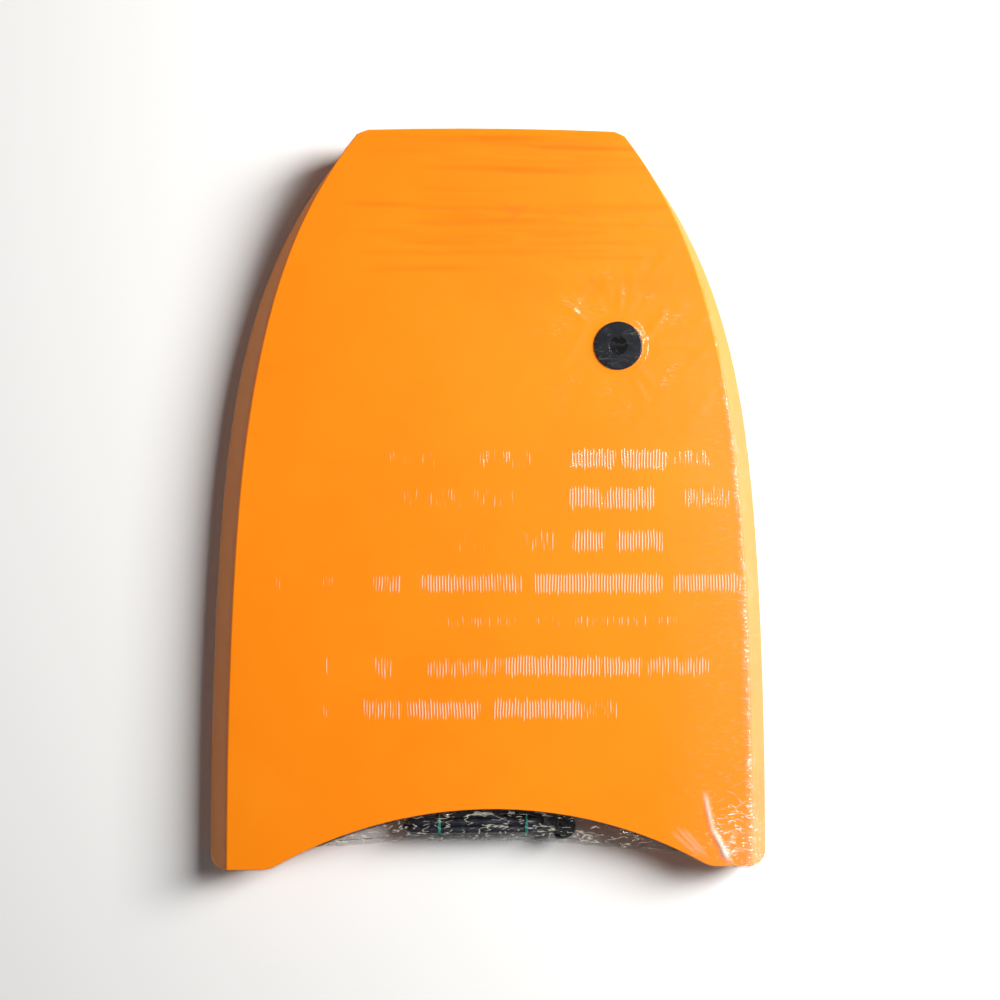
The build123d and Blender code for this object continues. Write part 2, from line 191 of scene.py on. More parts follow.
def read_points(piece):
    points = np.empty(len(piece.data.vertices) * 3)
    piece.data.vertices.foreach_get("co", points)
    return points.reshape(-1, 3)


def write_points(piece, points):
    piece.data.vertices.foreach_set("co", points.ravel())
    piece.data.update()


def paint(piece, name, values):
    """Stores one number per vertex, for the piece's material to read."""
    layer = piece.data.attributes.new(name, "FLOAT", "POINT")
    layer.data.foreach_set("value", np.clip(values, 0, 1))


def steps(start, end, pitch):
    count = max(1, round((end - start) / pitch))
    return [start + (end - start) * i / count for i in range(1, count)]


def finish_piece(piece, body, slot, material, *nodes):
    piece.data.materials.clear()
    piece.data.materials.append(material)
    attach(piece, body)
    if nodes:
        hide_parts(*nodes)
    return piece


# ---- Materials ----
def foam_material(name, tone, light_tone, blotch_size, pore_height):
    """Closed-cell foam sheet: one colour with soft blotches, fine pores and a few dark specks, and a deeper
    tone painted as shade where the piece's own attribute marks it.
    """
    material = bpy.data.materials.new(name)
    material.use_nodes = True
    nodes, links = material.node_tree.nodes, material.node_tree.links
    nodes.clear()

    output = nodes.new("ShaderNodeOutputMaterial")
    output.label, output.location = "Foam surface", (1200, 0)
    foam = nodes.new("ShaderNodeBsdfPrincipled")
    foam.label, foam.location = "Foam sheet", (900, 0)
    foam.inputs["Specular IOR Level"].default_value = 0.12
    place = nodes.new("ShaderNodeTexCoord")
    place.label, place.location = "Place on the board", (-900, 0)

    colour_frame = nodes.new("NodeFrame")
    colour_frame.label = "Colour"
    blotch = nodes.new("ShaderNodeTexNoise")
    blotch.label, blotch.location, blotch.parent = "Soft blotches", (-600, 300), colour_frame
    blotch.inputs["Scale"].default_value = 1 / blotch_size
    blotch.inputs["Detail"].default_value = 4
    blotch.inputs["Roughness"].default_value = 0.55
    tones = nodes.new("ShaderNodeValToRGB")
    tones.label, tones.location, tones.parent = "Foam tones", (-300, 300), colour_frame
    tones.color_ramp.elements[0].position, tones.color_ramp.elements[0].color = 0.3, (*tone, 1)
    tones.color_ramp.elements[1].position, tones.color_ramp.elements[1].color = 0.75, (*light_tone, 1)
    cells = nodes.new("ShaderNodeTexVoronoi")
    cells.label, cells.location, cells.parent = "Speck places", (-600, 0), colour_frame
    cells.inputs["Scale"].default_value = 30
    speck = nodes.new("ShaderNodeMapRange")
    speck.label, speck.location, speck.parent = "Speck size", (-300, 0), colour_frame
    speck.inputs["From Min"].default_value = 0.018
    speck.inputs["From Max"].default_value = 0.026
    speck.inputs["To Min"].default_value = 0.75
    speck.inputs["To Max"].default_value = 0.0
    rare = nodes.new("ShaderNodeMath")
    rare.label, rare.location, rare.parent = "Only a few cells", (-300, -250), colour_frame
    rare.operation = "LESS_THAN"
    rare.inputs[1].default_value = 0.16
    pick = nodes.new("ShaderNodeSeparateColor")
    pick.label, pick.location, pick.parent = "One value per cell", (-450, -250), colour_frame
    amount = nodes.new("ShaderNodeMath")
    amount.label, amount.location, amount.parent = "Speck strength", (-100, -100), colour_frame
    amount.operation = "MULTIPLY"
    dirt = nodes.new("ShaderNodeMix")
    dirt.label, dirt.location, dirt.parent = "Specks on foam", (200, 250), colour_frame
    dirt.data_type = "RGBA"
    dirt.inputs["B"].default_value = (0.05, 0.02, 0.01, 1)
    # Painted shade: the colour turns to a deeper tone in the nose wrinkles and along the deck's lower side
    # band, standing in for the shadow there.
    painted_shade = nodes.new("ShaderNodeAttribute")
    painted_shade.label, painted_shade.location, painted_shade.parent = "Pressed wrinkles", (-300, 550), colour_frame
    painted_shade.attribute_name = "painted_shade"
    deeper = nodes.new("ShaderNodeMix")
    deeper.label, deeper.location, deeper.parent = "Deeper tone where pressed", (0, 400), colour_frame
    deeper.data_type = "RGBA"
    deeper.inputs["B"].default_value = (tone[0] * 0.97, tone[1] * 0.74, tone[2], 1)

    bump_frame = nodes.new("NodeFrame")
    bump_frame.label = "Pores"
    pores = nodes.new("ShaderNodeTexNoise")
    pores.label, pores.location, pores.parent = "Fine pores", (-300, -500), bump_frame
    pores.inputs["Scale"].default_value = 700
    pores.inputs["Detail"].default_value = 3
    rough = nodes.new("ShaderNodeMapRange")
    rough.label, rough.location, rough.parent = "Roughness of pores", (200, -300), bump_frame
    rough.inputs["To Min"].default_value = 0.5
    rough.inputs["To Max"].default_value = 0.72
    skin = nodes.new("ShaderNodeBump")
    skin.label, skin.location, skin.parent = "Pored skin", (500, -500), bump_frame
    skin.inputs["Strength"].default_value = 0.5
    skin.inputs["Distance"].default_value = pore_height

    links.new(place.outputs["Object"], blotch.inputs["Vector"])
    links.new(place.outputs["Object"], cells.inputs["Vector"])
    links.new(place.outputs["Object"], pores.inputs["Vector"])
    links.new(blotch.outputs["Fac"], tones.inputs["Fac"])
    links.new(cells.outputs["Distance"], speck.inputs["Value"])
    links.new(cells.outputs["Color"], pick.inputs["Color"])
    links.new(pick.outputs["Red"], rare.inputs[0])
    links.new(speck.outputs["Result"], amount.inputs[0])
    links.new(rare.outputs["Value"], amount.inputs[1])
    links.new(amount.outputs["Value"], dirt.inputs["Factor"])
    links.new(painted_shade.outputs["Fac"], deeper.inputs["Factor"])
    links.new(tones.outputs["Color"], deeper.inputs["A"])
    links.new(deeper.outputs["Result"], dirt.inputs["A"])
    links.new(dirt.outputs["Result"], foam.inputs["Base Color"])
    links.new(pores.outputs["Fac"], rough.inputs["Value"])
    links.new(rough.outputs["Result"], foam.inputs["Roughness"])
    links.new(pores.outputs["Fac"], skin.inputs["Height"])
    links.new(skin.outputs["Normal"], foam.inputs["Normal"])
    links.new(foam.outputs["BSDF"], output.inputs["Surface"])
    return material


def bead_foam_material():
    """Moulded bead foam: swollen cells pressed together, with dark joints."""
    material = bpy.data.materials.new("bead_foam")
    material.use_nodes = True
    nodes, links = material.node_tree.nodes, material.node_tree.links
    nodes.clear()
    output = nodes.new("ShaderNodeOutputMaterial")
    output.label, output.location = "Core surface", (700, 0)
    foam = nodes.new("ShaderNodeBsdfPrincipled")
    foam.label, foam.location = "Bead foam", (400, 0)
    foam.inputs["Roughness"].default_value = 0.7
    place = nodes.new("ShaderNodeTexCoord")
    place.label, place.location = "Place in the core", (-700, 0)
    beads = nodes.new("ShaderNodeTexVoronoi")
    beads.label, beads.location = "Beads 4 mm across", (-400, 0)
    beads.inputs["Scale"].default_value = 250
    tones = nodes.new("ShaderNodeValToRGB")
    tones.label, tones.location = "Bead and joint", (-100, 150)
    tones.color_ramp.elements[0].color = (0.93, 0.91, 0.87, 1)
    tones.color_ramp.elements[1].color = (0.7, 0.67, 0.62, 1)
    dome = nodes.new("ShaderNodeBump")
    dome.label, dome.location = "Domed beads", (100, -250)
    dome.invert = True
    dome.inputs["Distance"].default_value = 0.0006
    links.new(place.outputs["Object"], beads.inputs["Vector"])
    links.new(beads.outputs["Distance"], tones.inputs["Fac"])
    links.new(beads.outputs["Distance"], dome.inputs["Height"])
    links.new(tones.outputs["Color"], foam.inputs["Base Color"])
    links.new(dome.outputs["Normal"], foam.inputs["Normal"])
    links.new(foam.outputs["BSDF"], output.inputs["Surface"])
    return material


def moulded_plastic(name, tone, worn_tone, gloss, grain_size, grain_height):
    """Injection-moulded plastic: a fine spark-eroded grain, faint flow marks and rubbed high spots."""
    material = bpy.data.materials.new(name)
    material.use_nodes = True
    nodes, links = material.node_tree.nodes, material.node_tree.links
    nodes.clear()
    output = nodes.new("ShaderNodeOutputMaterial")
    output.label, output.location = "Moulded surface", (900, 0)
    plastic = nodes.new("ShaderNodeBsdfPrincipled")
    plastic.label, plastic.location = "Plastic", (600, 0)
    plastic.inputs["Specular IOR Level"].default_value = 0.3
    place = nodes.new("ShaderNodeTexCoord")
    place.label, place.location = "Place on the piece", (-800, 0)

    wear_frame = nodes.new("NodeFrame")
    wear_frame.label = "Flow marks and rubbing"
    flow = nodes.new("ShaderNodeTexNoise")
    flow.label, flow.location, flow.parent = "Flow marks", (-500, 250), wear_frame
    flow.inputs["Scale"].default_value = 90
    flow.inputs["Detail"].default_value = 5
    flow.inputs["Distortion"].default_value = 0.6
    tones = nodes.new("ShaderNodeValToRGB")
    tones.label, tones.location, tones.parent = "Plastic tones", (-200, 250), wear_frame
    tones.color_ramp.elements[0].position, tones.color_ramp.elements[0].color = 0.35, (*tone, 1)
    tones.color_ramp.elements[1].position, tones.color_ramp.elements[1].color = 0.8, (*worn_tone, 1)
    shine = nodes.new("ShaderNodeMapRange")
    shine.label, shine.location, shine.parent = "Uneven shine", (-200, 0), wear_frame
    shine.inputs["To Min"].default_value = gloss * 0.8
    shine.inputs["To Max"].default_value = gloss * 1.3

    grain_frame = nodes.new("NodeFrame")
    grain_frame.label = "Mould grain"
    grain = nodes.new("ShaderNodeTexNoise")
    grain.label, grain.location, grain.parent = "Spark-eroded grain", (-500, -300), grain_frame
    grain.inputs["Scale"].default_value = 1 / grain_size
    grain.inputs["Detail"].default_value = 2
    relief = nodes.new("ShaderNodeBump")
    relief.label, relief.location, relief.parent = "Grain relief", (200, -300), grain_frame
    relief.inputs["Strength"].default_value = 0.6
    relief.inputs["Distance"].default_value = grain_height

    links.new(place.outputs["Object"], flow.inputs["Vector"])
    links.new(place.outputs["Object"], grain.inputs["Vector"])
    links.new(flow.outputs["Fac"], tones.inputs["Fac"])
    links.new(flow.outputs["Fac"], shine.inputs["Value"])
    links.new(grain.outputs["Fac"], relief.inputs["Height"])
    links.new(tones.outputs["Color"], plastic.inputs["Base Color"])
    links.new(shine.outputs["Result"], plastic.inputs["Roughness"])
    links.new(relief.outputs["Normal"], plastic.inputs["Normal"])
    links.new(plastic.outputs["BSDF"], output.inputs["Surface"])
    return material


def wire_material(name):
    """Drawn stainless wire: fine lines along X and slightly uneven polish."""
    material = bpy.data.materials.new(name)
    material.use_nodes = True
    nodes, links = material.node_tree.nodes, material.node_tree.links
    nodes.clear()
    output = nodes.new("ShaderNodeOutputMaterial")
    output.label, output.location = "Wire surface", (800, 0)
    steel = nodes.new("ShaderNodeBsdfPrincipled")
    steel.label, steel.location = "Stainless steel", (500, 0)
    steel.inputs["Base Color"].default_value = (0.62, 0.62, 0.64, 1)
    steel.inputs["Metallic"].default_value = 1
    place = nodes.new("ShaderNodeTexCoord")
    place.label, place.location = "Place on the wire", (-900, 0)
    stretch = nodes.new("ShaderNodeMapping")
    stretch.label, stretch.location = "Drawn out along X", (-700, 0)
    stretch.inputs["Scale"].default_value = (0.08, 1, 1)
    lines = nodes.new("ShaderNodeTexNoise")
    lines.label, lines.location = "Drawing lines", (-400, 0)
    lines.inputs["Scale"].default_value = 4000
    polish = nodes.new("ShaderNodeMapRange")
    polish.label, polish.location = "Uneven polish", (-100, 100)
    polish.inputs["To Min"].default_value = 0.18
    polish.inputs["To Max"].default_value = 0.42
    relief = nodes.new("ShaderNodeBump")
    relief.label, relief.location = "Line relief", (200, -200)
    relief.inputs["Strength"].default_value = 0.3
    relief.inputs["Distance"].default_value = 0.00003
    links.new(place.outputs["Object"], stretch.inputs["Vector"])
    links.new(stretch.outputs["Vector"], lines.inputs["Vector"])
    links.new(lines.outputs["Fac"], polish.inputs["Value"])
    links.new(lines.outputs["Fac"], relief.inputs["Height"])
    links.new(polish.outputs["Result"], steel.inputs["Roughness"])
    links.new(relief.outputs["Normal"], steel.inputs["Normal"])
    links.new(steel.outputs["BSDF"], output.inputs["Surface"])
    return material


def cloth_material(name, dark, light, along, across, thread_height, sheen):
    """Woven or braided cloth on the piece's own UV map: so many threads along it and across it."""
    material = bpy.data.materials.new(name)
    material.use_nodes = True
    nodes, links = material.node_tree.nodes, material.node_tree.links
    nodes.clear()
    output = nodes.new("ShaderNodeOutputMaterial")
    output.label, output.location = "Cloth surface", (1100, 0)
    cloth = nodes.new("ShaderNodeBsdfPrincipled")
    cloth.label, cloth.location = "Cloth", (800, 0)
    cloth.inputs["Specular IOR Level"].default_value = 0.35
    cloth.inputs["Sheen Weight"].default_value = sheen
    cloth.inputs["Sheen Roughness"].default_value = 0.35
    place = nodes.new("ShaderNodeTexCoord")
    place.label, place.location = "Along and across", (-1000, 0)

    weave_frame = nodes.new("NodeFrame")
    weave_frame.label = "Weave"
    count = nodes.new("ShaderNodeMapping")
    count.label, count.location, count.parent = "Thread count", (-800, 0), weave_frame
    count.inputs["Scale"].default_value = (along, across, 1)
    brick = nodes.new("ShaderNodeTexBrick")
    brick.label, brick.location, brick.parent = "Threads over and under", (-500, 100), weave_frame
    brick.inputs["Scale"].default_value = 1
    brick.inputs["Mortar Size"].default_value = 0.08
    brick.inputs["Mortar Smooth"].default_value = 1
    brick.inputs["Brick Width"].default_value = 2
    brick.inputs["Row Height"].default_value = 1
    brick.inputs["Color1"].default_value = (*dark, 1)
    brick.inputs["Color2"].default_value = (*light, 1)
    brick.inputs["Mortar"].default_value = (0.004, 0.004, 0.006, 1)
    fuzz = nodes.new("ShaderNodeTexNoise")
    fuzz.label, fuzz.location, fuzz.parent = "Loose fibres", (-500, -300), weave_frame
    fuzz.inputs["Scale"].default_value = 1800
    fuzz.inputs["Detail"].default_value = 4
    raised = nodes.new("ShaderNodeMath")
    raised.label, raised.location, raised.parent = "Threads and fibres", (-150, -200), weave_frame
    raised.operation = "MULTIPLY_ADD"
    raised.inputs[1].default_value = 0.5
    relief = nodes.new("ShaderNodeBump")
    relief.label, relief.location, relief.parent = "Thread relief", (450, -200), weave_frame
    relief.inputs["Distance"].default_value = thread_height
    inverse = nodes.new("ShaderNodeMath")
    inverse.label, inverse.location, inverse.parent = "Gaps are low", (-300, -60), weave_frame
    inverse.operation = "SUBTRACT"
    inverse.inputs[0].default_value = 1
    rough = nodes.new("ShaderNodeMapRange")
    rough.label, rough.location = "Dull fibres", (400, 200)
    rough.inputs["To Min"].default_value = 0.6
    rough.inputs["To Max"].default_value = 0.9

    links.new(place.outputs["UV"], count.inputs["Vector"])
    links.new(count.outputs["Vector"], brick.inputs["Vector"])
    links.new(place.outputs["Object"], fuzz.inputs["Vector"])
    links.new(brick.outputs["Fac"], inverse.inputs[1])
    links.new(fuzz.outputs["Fac"], raised.inputs[0])
    links.new(inverse.outputs["Value"], raised.inputs[2])
    links.new(raised.outputs["Value"], relief.inputs["Height"])
    links.new(fuzz.outputs["Fac"], rough.inputs["Value"])
    links.new(brick.outputs["Color"], cloth.inputs["Base Color"])
    links.new(rough.outputs["Result"], cloth.inputs["Roughness"])
    links.new(relief.outputs["Normal"], cloth.inputs["Normal"])
    links.new(cloth.outputs["BSDF"], output.inputs["Surface"])
    return material


def cord_material():
    """Satin urethane cord: faint extrusion lines and scuffs."""
    material = bpy.data.materials.new("cord_skin")
    material.use_nodes = True
    nodes, links = material.node_tree.nodes, material.node_tree.links
    nodes.clear()
    output = nodes.new("ShaderNodeOutputMaterial")
    output.label, output.location = "Cord surface", (900, 0)
    rubber = nodes.new("ShaderNodeBsdfPrincipled")
    rubber.label, rubber.location = "Urethane", (600, 0)
    place = nodes.new("ShaderNodeTexCoord")
    place.label, place.location = "Place on the cord", (-800, 0)
    scuff = nodes.new("ShaderNodeTexNoise")
    scuff.label, scuff.location = "Scuffs", (-500, 200)
    scuff.inputs["Scale"].default_value = 260
    scuff.inputs["Detail"].default_value = 6
    scuff.inputs["Distortion"].default_value = 1.2
    tones = nodes.new("ShaderNodeValToRGB")
    tones.label, tones.location = "Black and scuffed grey", (-200, 200)
    tones.color_ramp.elements[0].position, tones.color_ramp.elements[0].color = 0.45, (0.010, 0.011, 0.018, 1)
    tones.color_ramp.elements[1].position, tones.color_ramp.elements[1].color = 0.85, (0.05, 0.052, 0.065, 1)
    shine = nodes.new("ShaderNodeMapRange")
    shine.label, shine.location = "Uneven shine", (-200, -50)
    shine.inputs["To Min"].default_value = 0.22
    shine.inputs["To Max"].default_value = 0.5
    relief = nodes.new("ShaderNodeBump")
    relief.label, relief.location = "Scuff relief", (300, -250)
    relief.inputs["Strength"].default_value = 0.4
    relief.inputs["Distance"].default_value = 0.0001
    links.new(place.outputs["Object"], scuff.inputs["Vector"])
    links.new(scuff.outputs["Fac"], tones.inputs["Fac"])
    links.new(scuff.outputs["Fac"], shine.inputs["Value"])
    links.new(scuff.outputs["Fac"], relief.inputs["Height"])
    links.new(tones.outputs["Color"], rubber.inputs["Base Color"])
    links.new(shine.outputs["Result"], rubber.inputs["Roughness"])
    links.new(relief.outputs["Normal"], rubber.inputs["Normal"])
    links.new(rubber.outputs["BSDF"], output.inputs["Surface"])
    return material


def film_material(name):
    """Clear shrink film. The piece's own attributes say how rippled and crumpled it is, and where it is
    whitened; the whitening and the white crests of ripples and folds are painted glints and glare, only
    partly the real look of stacked film.
    """
    material = bpy.data.materials.new(name)
    material.use_nodes = True
    nodes, links = material.node_tree.nodes, material.node_tree.links
    nodes.clear()
    output = nodes.new("ShaderNodeOutputMaterial")
    output.label, output.location = "Film surface", (1700, 0)
    place = nodes.new("ShaderNodeTexCoord")
    place.label, place.location = "Place on the film", (-1300, 0)

    ripple_frame = nodes.new("NodeFrame")
    ripple_frame.label = "Rows of fine heat ripples"
    ripple_amount = nodes.new("ShaderNodeAttribute")
    ripple_amount.label, ripple_amount.location = "Rippled rows", (-1000, 500)
    ripple_amount.parent = ripple_frame
    ripple_amount.attribute_name = "rippled"
    stretched = nodes.new("ShaderNodeMapping")
    stretched.label, stretched.location = "Long along each ripple", (-1000, 250)
    stretched.parent = ripple_frame
    stretched.inputs["Scale"].default_value = (420, 60, 1)
    ragged = nodes.new("ShaderNodeTexNoise")
    ragged.label, ragged.location, ragged.parent = "Ragged ends", (-800, 250), ripple_frame
    ragged.inputs["Scale"].default_value = 1
    ragged.inputs["Detail"].default_value = 0
    reach = nodes.new("ShaderNodeMath")
    reach.label, reach.location, reach.parent = "How far each ripple runs", (-600, 400), ripple_frame
    reach.operation = "ADD"
    clear_cut = nodes.new("ShaderNodeMapRange")
    clear_cut.label, clear_cut.location = "Ripples start suddenly", (-400, 400)
    clear_cut.parent = ripple_frame
    clear_cut.interpolation_type = "SMOOTHSTEP"
    clear_cut.inputs["From Min"].default_value = 0.9
    clear_cut.inputs["From Max"].default_value = 1.35
    ripple = nodes.new("ShaderNodeTexWave")
    ripple.label, ripple.location, ripple.parent = "Ripples 2.6 mm apart", (-400, 100), ripple_frame
    ripple.inputs["Scale"].default_value = 0.314 / 0.0026
    ripple.inputs["Distortion"].default_value = 2.6
    ripple.inputs["Detail"].default_value = 1
    ripple.inputs["Detail Scale"].default_value = 0.4
    ripple_relief = nodes.new("ShaderNodeBump")
    ripple_relief.label, ripple_relief.location = "Ripple relief", (0, 250)
    ripple_relief.parent = ripple_frame
    ripple_relief.inputs["Distance"].default_value = 0.0005

    crumple_frame = nodes.new("NodeFrame")
    crumple_frame.label = "Crumples and slack"
    crumple_amount = nodes.new("ShaderNodeAttribute")
    crumple_amount.label, crumple_amount.location = "Crumpled places", (-400, -200)
    crumple_amount.attribute_name, crumple_amount.parent = "crumpled", crumple_frame
    slanted = nodes.new("ShaderNodeMapping")
    slanted.label, slanted.location, slanted.parent = "Folds run aslant", (-1000, -300), crumple_frame
    slanted.inputs["Rotation"].default_value = (0, 0, math.radians(-58))
    slanted.inputs["Scale"].default_value = (150, 380, 250)
    folds = nodes.new("ShaderNodeTexVoronoi")
    folds.label, folds.location, folds.parent = "Small sharp folds", (-800, -300), crumple_frame
    folds.inputs["Scale"].default_value = 1
    crumple = nodes.new("ShaderNodeMath")
    crumple.label, crumple.location, crumple.parent = "Folds where crumpled", (-200, -300), crumple_frame
    crumple.operation = "MULTIPLY"
    crumple_relief = nodes.new("ShaderNodeBump")
    crumple_relief.label, crumple_relief.location = "Fold relief", (0, -300)
    crumple_relief.parent = crumple_frame
    crumple_relief.inputs["Distance"].default_value = 0.0016
    slack = nodes.new("ShaderNodeTexNoise")
    slack.label, slack.location, slack.parent = "Slack all over", (-400, -600), crumple_frame
    slack.inputs["Scale"].default_value = 60
    slack.inputs["Detail"].default_value = 1
    slack_relief = nodes.new("ShaderNodeBump")
    slack_relief.label, slack_relief.location = "Slack relief", (-200, -600)
    slack_relief.parent = crumple_frame
    slack_relief.inputs["Distance"].default_value = 0.0005

    # Painted highlights: the crests of ripples and folds are mixed towards a white diffuse, standing in for
    # the lamp's glints on them.
    crest_frame = nodes.new("NodeFrame")
    crest_frame.label = "Crests of ripples and folds look white"
    ripple_crest = nodes.new("ShaderNodeMapRange")
    ripple_crest.label, ripple_crest.location, ripple_crest.parent = "Ripple crests", (0, 700), crest_frame
    ripple_crest.inputs["From Min"].default_value = 0.55
    ripple_crest.inputs["From Max"].default_value = 0.95
    ripple_crest.inputs["To Max"].default_value = 0.6
    ripple_painted_glint = nodes.new("ShaderNodeMath")
    ripple_painted_glint.label, ripple_painted_glint.location = "Crests in the rows", (200, 700)
    ripple_painted_glint.parent = crest_frame
    ripple_painted_glint.operation = "MULTIPLY"
    lines_place = nodes.new("ShaderNodeMapping")
    lines_place.label, lines_place.location, lines_place.parent = "Longer than wide", (-600, 950), crest_frame
    lines_place.inputs["Rotation"].default_value = (0, 0, math.radians(-58))
    lines_place.inputs["Scale"].default_value = (70, 230, 150)
    fold_lines = nodes.new("ShaderNodeTexNoise")
    fold_lines.label, fold_lines.location, fold_lines.parent = "Wandering folds", (-400, 950), crest_frame
    fold_lines.inputs["Scale"].default_value = 1
    fold_lines.inputs["Detail"].default_value = 1
    centred = nodes.new("ShaderNodeMath")
    centred.label, centred.location, centred.parent = "Centred", (-300, 1150), crest_frame
    centred.operation = "SUBTRACT"
    centred.inputs[1].default_value = 0.5
    off_line = nodes.new("ShaderNodeMath")
    off_line.label, off_line.location = "Away from the fold's line", (-150, 1150)
    off_line.parent = crest_frame
    off_line.operation = "ABSOLUTE"
    fold_crest = nodes.new("ShaderNodeMapRange")
    fold_crest.label, fold_crest.location, fold_crest.parent = "Thin fold crests", (0, 950), crest_frame
    fold_crest.inputs["From Min"].default_value = 0.0
    fold_crest.inputs["From Max"].default_value = 0.035
    fold_crest.inputs["To Min"].default_value = 0.8
    fold_crest.inputs["To Max"].default_value = 0.0
    broken = nodes.new("ShaderNodeSeparateColor")
    broken.label, broken.location, broken.parent = "One value per fold", (-150, 1350), crest_frame
    kept_folds = nodes.new("ShaderNodeMath")
    kept_folds.label, kept_folds.location, kept_folds.parent = "Only some folds show", (50, 1350), crest_frame
    kept_folds.operation = "GREATER_THAN"
    kept_folds.inputs[1].default_value = 0.5
    some_folds = nodes.new("ShaderNodeMath")
    some_folds.label, some_folds.location, some_folds.parent = "Broken crests", (200, 1200), crest_frame
    some_folds.operation = "MULTIPLY"
    fold_painted_glint = nodes.new("ShaderNodeMath")
    fold_painted_glint.label, fold_painted_glint.location = "Crests where crumpled", (200, 950)
    fold_painted_glint.parent = crest_frame
    fold_painted_glint.operation = "MULTIPLY"
    both = nodes.new("ShaderNodeMath")
    both.label, both.location, both.parent = "All crests", (400, 850), crest_frame
    both.operation = "ADD"
    painted_glints_and_whitish_film = nodes.new("ShaderNodeMath")
    painted_glints_and_whitish_film.label, painted_glints_and_whitish_film.location, painted_glints_and_whitish_film.parent = "Crests and milky folds", (600, 850), crest_frame
    painted_glints_and_whitish_film.operation = "ADD"
    painted_glints_and_whitish_film.use_clamp = True

    body_frame = nodes.new("NodeFrame")
    body_frame.label = "Film"
    clear = nodes.new("ShaderNodeBsdfTransparent")
    clear.label, clear.location, clear.parent = "Clear film", (700, 300), body_frame
    clear.inputs["Color"].default_value = (0.99, 0.992, 0.995, 1)
    # The whitening attribute is partly the real whitish look of stacked film and partly painted glare and
    # glints on the lit right rail, the seam and the right-hand side.
    milky_and_glare_amount = nodes.new("ShaderNodeAttribute")
    milky_and_glare_amount.label, milky_and_glare_amount.location, milky_and_glare_amount.parent = "Milky folds", (500, 500), body_frame
    milky_and_glare_amount.attribute_name = "milky_and_glare"
    # This white diffuse is partly stacked film and partly painted glints and glare; its warm tint is the tint
    # of the painted glints.
    white = nodes.new("ShaderNodeBsdfDiffuse")
    white.label, white.location, white.parent = "Stacked layers look white", (700, 100), body_frame
    white.inputs["Color"].default_value = (0.94, 0.89, 0.76, 1)
    milky_and_glare = nodes.new("ShaderNodeMixShader")
    milky_and_glare.label, milky_and_glare.location, milky_and_glare.parent = "Clear or milky", (950, 250), body_frame
    gloss = nodes.new("ShaderNodeBsdfGlossy")
    gloss.label, gloss.location, gloss.parent = "Film gloss", (700, -100), body_frame
    gloss.inputs["Roughness"].default_value = 0.13
    haze = nodes.new("ShaderNodeBsdfGlossy")
    haze.label, haze.location, haze.parent = "Haze of the film's fine texture", (700, -300), body_frame
    haze.inputs["Roughness"].default_value = 0.45
    sheen = nodes.new("ShaderNodeMixShader")
    sheen.label, sheen.location, sheen.parent = "Gloss and haze", (950, -150), body_frame
    sheen.inputs["Fac"].default_value = 0.12
    turned = nodes.new("ShaderNodeLayerWeight")
    turned.label, turned.location, turned.parent = "Turned away", (500, 800), body_frame
    steep = nodes.new("ShaderNodeMath")
    steep.label, steep.location, steep.parent = "Only when steep", (700, 800), body_frame
    steep.operation = "POWER"
    steep.inputs[1].default_value = 4
    mirror = nodes.new("ShaderNodeMath")
    mirror.label, mirror.location, mirror.parent = "Reflection of thin film", (900, 700), body_frame
    mirror.operation = "MULTIPLY_ADD"
    mirror.inputs[1].default_value = 0.12
    mirror.inputs[2].default_value = 0.035
    film = nodes.new("ShaderNodeMixShader")
    film.label, film.location, film.parent = "Film", (1400, 100), body_frame

    links.new(place.outputs["Object"], stretched.inputs["Vector"])
    links.new(stretched.outputs["Vector"], ragged.inputs["Vector"])
    links.new(ripple_amount.outputs["Fac"], reach.inputs[0])
    links.new(ragged.outputs["Fac"], reach.inputs[1])
    links.new(reach.outputs["Value"], clear_cut.inputs["Value"])
    links.new(place.outputs["Object"], ripple.inputs["Vector"])
    links.new(clear_cut.outputs["Result"], ripple_relief.inputs["Strength"])
    links.new(ripple.outputs["Fac"], ripple_relief.inputs["Height"])
    links.new(place.outputs["Object"], slanted.inputs["Vector"])
    links.new(slanted.outputs["Vector"], folds.inputs["Vector"])
    links.new(folds.outputs["Distance"], crumple.inputs[0])
    links.new(crumple_amount.outputs["Fac"], crumple.inputs[1])
    links.new(crumple.outputs["Value"], crumple_relief.inputs["Height"])
    links.new(place.outputs["Object"], slack.inputs["Vector"])
    links.new(slack.outputs["Fac"], slack_relief.inputs["Height"])
    links.new(slack_relief.outputs["Normal"], crumple_relief.inputs["Normal"])
    links.new(crumple_relief.outputs["Normal"], ripple_relief.inputs["Normal"])
    links.new(ripple_relief.outputs["Normal"], gloss.inputs["Normal"])
    links.new(ripple_relief.outputs["Normal"], haze.inputs["Normal"])
    links.new(ripple.outputs["Fac"], ripple_crest.inputs["Value"])
    links.new(ripple_crest.outputs["Result"], ripple_painted_glint.inputs[0])
    links.new(clear_cut.outputs["Result"], ripple_painted_glint.inputs[1])
    links.new(place.outputs["Object"], lines_place.inputs["Vector"])
    links.new(lines_place.outputs["Vector"], fold_lines.inputs["Vector"])
    links.new(fold_lines.outputs["Fac"], centred.inputs[0])
    links.new(centred.outputs["Value"], off_line.inputs[0])
    links.new(off_line.outputs["Value"], fold_crest.inputs["Value"])
    links.new(folds.outputs["Color"], broken.inputs["Color"])
    links.new(broken.outputs["Red"], kept_folds.inputs[0])
    links.new(fold_crest.outputs["Result"], some_folds.inputs[0])
    links.new(kept_folds.outputs["Value"], some_folds.inputs[1])
    links.new(some_folds.outputs["Value"], fold_painted_glint.inputs[0])
    links.new(crumple_amount.outputs["Fac"], fold_painted_glint.inputs[1])
    links.new(ripple_painted_glint.outputs["Value"], both.inputs[0])
    links.new(fold_painted_glint.outputs["Value"], both.inputs[1])
    links.new(both.outputs["Value"], painted_glints_and_whitish_film.inputs[0])
